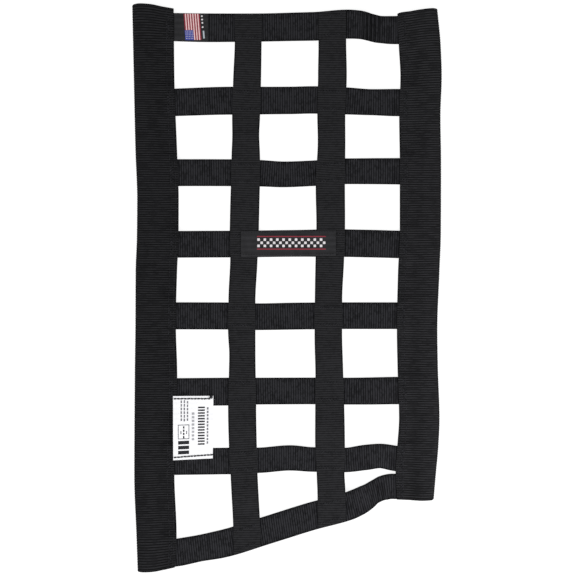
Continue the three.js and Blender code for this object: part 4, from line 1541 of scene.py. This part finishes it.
SLEEVES = (
    Sleeve(
        "rod_sleeve_left", "sleeve_left",
        ((269, -148.2, -109, 11.8), (200, -146.7, -108.3, 11), (133, -145.2, -105.8, 10.6),
         (85, -143.5, -104.2, 11), (50, -143.8, -104.3, 10.8), (15, -145, -105.8, 10.6),
         (-35, -145.2, -106.9, 11.2), (-84, -145.8, -105.6, 10.8), (-180, -146.3, -108.3, 10.6),
         (-237, -144.2, -106.2, 11.2), (-270, -143, -108, 12)),
        ((0, 269.8), (0.05, 271.4), (0.2, 272.4), (0.45, 272), (0.75, 270), (1, 268.2)),
        ((0, -271.9), (0.15, -272.4), (0.45, -271.8), (0.7, -270.3), (1, -267.8)),
    ),
    Sleeve(
        "rod_sleeve_right", "sleeve_right",
        ((267, 144, 106, 11.6), (233, 147.2, 107.5, 10.8), (203, 148.2, 109.1, 10.8),
         (165, 147, 107.9, 10.8), (120, 147.6, 108.5, 10.6), (54, 147.4, 108.5, 10.8),
         (15, 146, 106.8, 11), (-40, 144, 105.7, 11.2), (-75, 144.5, 106.3, 11),
         (-125, 146.1, 107.8, 10.6), (-152, 145, 106.1, 10.8), (-176, 142.8, 104.4, 12.2),
         (-203, 140.4, 105.8, 13.8)),
        ((0, 267.4), (0.1, 268.1), (0.43, 266.9), (0.7, 265.4), (0.93, 264), (1, 262.8)),
        ((0, -201.8), (0.08, -203), (0.4, -203.6), (1, -202.9)),
        bend_start=175.0,
        finish=RIGHT_SLEEVE_WEBBING,
    ),
)


@dataclass
class WindowNet:
    """The whole net: it lays the straps on each other, builds every piece and sews them together."""

    straps: tuple[Strap, ...] = CROSS_STRAPS
    uprights: tuple[Strap, ...] = UPRIGHTS
    sleeves: tuple[Sleeve, ...] = SLEEVES
    cut_inside: float = 0.45
    seam_rows: tuple[float, ...] = (2.6, 7.2)
    seam_short: float = 2.0
    tack_from_seam: float = 5.8
    tack_reach: float = 1.7
    crossing_inset: float = 4.4
    crossing_short: float = 2.5
    stray_row: tuple[float, float, float] = (-100.3, -257.2, -248.4)

    def __post_init__(self) -> None:
        """Works out where everything rests on everything else."""
        for index, strap in enumerate(self.straps):
            middle = strap.course.at(0, 0.0)
            left, right = (float(sleeve.course.at(1, middle)) for sleeve in self.sleeves)
            entry = SLEEVE_THICKNESS + CLEARANCE
            strap.rests.append(Rest(-FAR, left + REST_MARGIN, entry))
            for upright in self.uprights:
                at = crossing_of(strap, upright)
                strap.rests.append(Rest(at.x - at.half_x, at.x + at.half_x, upright.lifts[index]))
            strap.rests.append(Rest(right - REST_MARGIN, FAR, entry))
        for upright in self.uprights:
            for strap, lift in zip(reversed(self.straps), reversed(upright.lifts)):
                at = crossing_of(strap, upright)
                upright.rests.append(Rest(at.y - at.half_y, at.y + at.half_y, lift + STACK_HEIGHT))
        for sleeve in self.sleeves:
            sleeve.grip(list(self.straps))

    def cut_end(self, piece: bpy.types.Object, upright: Strap, strap: Strap, side: float) -> None:
        """Cuts an upright off just inside the outer edge of the first or last cross strap.

        Args:
            piece: The upright's object.
            upright: Its sizes.
            strap: The cross strap that it ends on.
            side: 1 at the square end, -1 at the slanting one.
        """
        at = crossing_of(strap, upright)
        along = np.array([1, at.slope]) / math.hypot(1, at.slope)
        outward = np.array([-along[1], along[0], 0]) * side
        reach = float(strap.course.at(1, at.x)) / 2 - self.cut_inside
        mesh = bmesh.new()
        mesh.from_mesh(piece.data)
        cut = bmesh.ops.bisect_plane(
            mesh,
            geom=[*mesh.verts, *mesh.edges, *mesh.faces],
            plane_co=(np.array([at.x, at.y, 0]) + outward * reach) * MM,
            plane_no=outward,
            clear_outer=True,
        )
        edges = [item for item in cut["geom_cut"] if isinstance(item, bmesh.types.BMEdge)]
        bmesh.ops.holes_fill(mesh, edges=edges, sides=0)
        mesh.to_mesh(piece.data)
        mesh.free()

    def build_straps(self) -> None:
        """Builds the cross straps and the uprights."""
        for strap in self.straps:
            piece = strap.build()
        for upright in self.uprights:
            piece = upright.build()
            self.cut_end(piece, upright, self.straps[0], 1)
            self.cut_end(piece, upright, self.straps[-1], -1)

    def build_sleeves(self) -> None:
        """Builds the sleeves and the rows of stitches along their sewn edges."""
        for sleeve in self.sleeves:
            piece = sleeve.build()
            bottom, top = sleeve.slanting_end[-1][1], sleeve.square_end[-1][1]
            seams = Stitching(sleeve.name + "_seams")
            half = SLEEVE_THICKNESS / 2
            ends = (bottom + self.seam_short, top - self.seam_short)
            for from_seam in self.seam_rows:
                turn = sleeve.upper_turn(from_seam)
                seams.row(partial(sleeve.surface, turn=turn, offset=half), *ends)
                seams.row(partial(sleeve.surface, turn=3 - turn, offset=half), *ends, side=-1)
            for strap in self.straps:
                seam = float(sleeve.course.at(1, strap.course.at(0, 0.0)))
                centre, width = float(strap.course.at(0, seam)), float(strap.course.at(1, seam))
                reach = width / 2 - self.seam_short
                at, off = seams.corners_of(centre - reach, centre + reach)
                turn = sleeve.upper_turn(self.tack_from_seam + off * self.tack_reach)
                seams.zigzag(sleeve.surface(at, turn, half))
                seams.zigzag(sleeve.surface(at, 3 - turn, half), -1)
            thread = seams.build()

    def build_crossings(self) -> None:
        """Sews each crossing with two zigzag rows across the upright, near the cross strap's edges."""
        sewing = Stitching("crossing_stitches")
        for strap in self.straps:
            for upright in self.uprights:
                at = crossing_of(strap, upright)
                reach = float(upright.course.at(1, at.y)) / 2 - self.crossing_short
                shift = float(strap.course.at(1, at.x)) / 2 - self.crossing_inset
                x, off = sewing.corners_of(at.x - reach, at.x + reach)
                for row in (-1, 1):
                    y = at.y + (x - at.x) * at.slope + row * shift + off * ZIGZAG_REACH
                    sewing.zigzag(np.stack((x, y, upright.underside(y) + STRAP_THICKNESS), -1))
                    sewing.zigzag(np.stack((x, y, strap.underside(x)), -1), -1)

        # A short row shows on the last strap's face, just outside the sleeve
        middle, low, high = self.stray_row
        y, off = sewing.corners_of(low, high)
        x = middle + off * ZIGZAG_REACH
        sewing.zigzag(np.stack((x, y, self.straps[-1].underside(x) + STRAP_THICKNESS), -1))
        sewing.build()

    def build_labels(self) -> None:
        """Builds the three labels and the thin thread that holds them."""
        fourth = self.straps[3]
        left, right = (crossing_of(fourth, upright) for upright in self.uprights)
        satin = SatinLabel(strap=fourth, left=left, right=right)
        flag = FlagRibbon(strap=self.straps[0])
        tag = TaffetaTag(upper=self.straps[5], lower=self.straps[6], sleeve=self.sleeves[0])
        thread = Stitching("label_stitches", radius=0.28, length=2.0, pitch=2.6)
        for side in (-1, 1):
            path = partial(satin.face, off=side * (satin.width / 2 - satin.sewn_inset))
            thread.row(path, satin.start + satin.sewn_short, satin.end - satin.sewn_short)
        hems = Stitching("tag_hem_stitches", radius=0.68, length=3.15, pitch=3.2)
        for first, last, start, end in tag.hems:
            hems.row(partial(tag.hem_path, first=first, last=last), start, end)
        loops = np.array(tag.knot)
        hems.zigzag(np.column_stack((loops, tag.top(loops[:, 0], loops[:, 1]) + tag.knot_height)))
        hemmed = hems.build()
        sewn = thread.build()
        for label, stitches in ((satin, [sewn]), (flag, []), (tag, [hemmed])):
            cloth, *pieces = label.build()
            label.cut()

    def build(self) -> None:
        """Builds every piece of the net."""
        self.build_straps()
        self.build_sleeves()
        self.build_crossings()
        self.build_labels()


@dataclass(frozen=True)
class Lamp:
    """A square soft box: where it stands and what it gives, in metres and watts."""

    name: str
    place: tuple[float, float, float]
    size: float
    watts: float


@dataclass
class Studio:
    """A pale table, soft light from all round and a long lens straight above the net."""

    table_half: float = 12.0
    table_levels: tuple[float, float] = (-0.05, -9.0)
    cloth_height: float = 0.004
    camera_height: float = 3.204
    view_width: float = 0.55296
    view_centre: tuple[float, float] = (0.00096, 0.0)
    sensor_width: float = 36.0
    seen_from: float = 0.1
    seen_to: float = 100.0
    sky: float = 0.665
    lamps: tuple[Lamp, ...] = (
        Lamp("key_soft_box", (-1.6, -0.7, 1.4), 2.0, 22.0),
        Lamp("low_soft_box", (0.5, -0.55, 0.38), 0.4, 4.6),
    )

    def build_floor(self) -> None:
        """Lays the table top that the net lies on."""
        half = self.table_half / MM
        corners = [[(x, y) for y in (-half, half)] for x in (-half, half)]
        sides = [np.insert(np.array(corners), 2, level, axis=-1) for level in self.table_levels]
        sheet_between("table_top", OPAL_TABLE, *sides)

    def build_lights(self) -> None:
        """Sets up the soft boxes and the even light round them."""
        for lamp in self.lamps:
            light = bpy.data.lights.new(lamp.name, "AREA")
            light.shape = "SQUARE"
            light.size = lamp.size
            light.energy = lamp.watts
            box = bpy.data.objects.new(lamp.name, light)
            box.location = lamp.place
            box.visible_camera = False
            box.rotation_mode = "QUATERNION"
            box.rotation_quaternion = (-box.location).to_track_quat("-Z", "Y")
            bpy.context.scene.collection.objects.link(box)
        world = bpy.data.worlds.new("even_light")
        world.use_nodes = True
        world.node_tree.nodes.clear()
        even = {"Color": (1.0, 1.0, 1.0, 1.0), "Strength": self.sky}
        glow = add_node(world.node_tree, "Background", inputs=even)
        add_node(world.node_tree, "OutputWorld", inputs={0: glow})
        bpy.context.scene.world = world

    def build_camera(self) -> None:
        """Hangs the camera straight above, where the photograph was taken from."""
        lens = bpy.data.cameras.new("view_from_above")
        lens.sensor_width = self.sensor_width
        lens.lens = lens.sensor_width * (self.camera_height - self.cloth_height) / self.view_width
        lens.clip_start, lens.clip_end = self.seen_from, self.seen_to
        camera = bpy.data.objects.new("view_from_above", lens)
        camera.location = (*self.view_centre, self.camera_height)
        bpy.context.scene.collection.objects.link(camera)
        bpy.context.scene.camera = camera

    def build(self) -> None:
        """Builds the floor, the lights and the camera."""
        bpy.context.scene.view_settings.view_transform = "Standard"
        self.build_floor()
        self.build_lights()
        self.build_camera()


def write_sizes() -> None:
    """Updates the view layer.
    """
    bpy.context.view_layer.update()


def main() -> None:
    """Builds the net and the studio round it."""
    logging.basicConfig(level=logging.INFO, format="%(name)s: %(message)s")
    WindowNet().build()
    Studio().build()
    write_sizes()


if __name__ == "__main__":
    main()
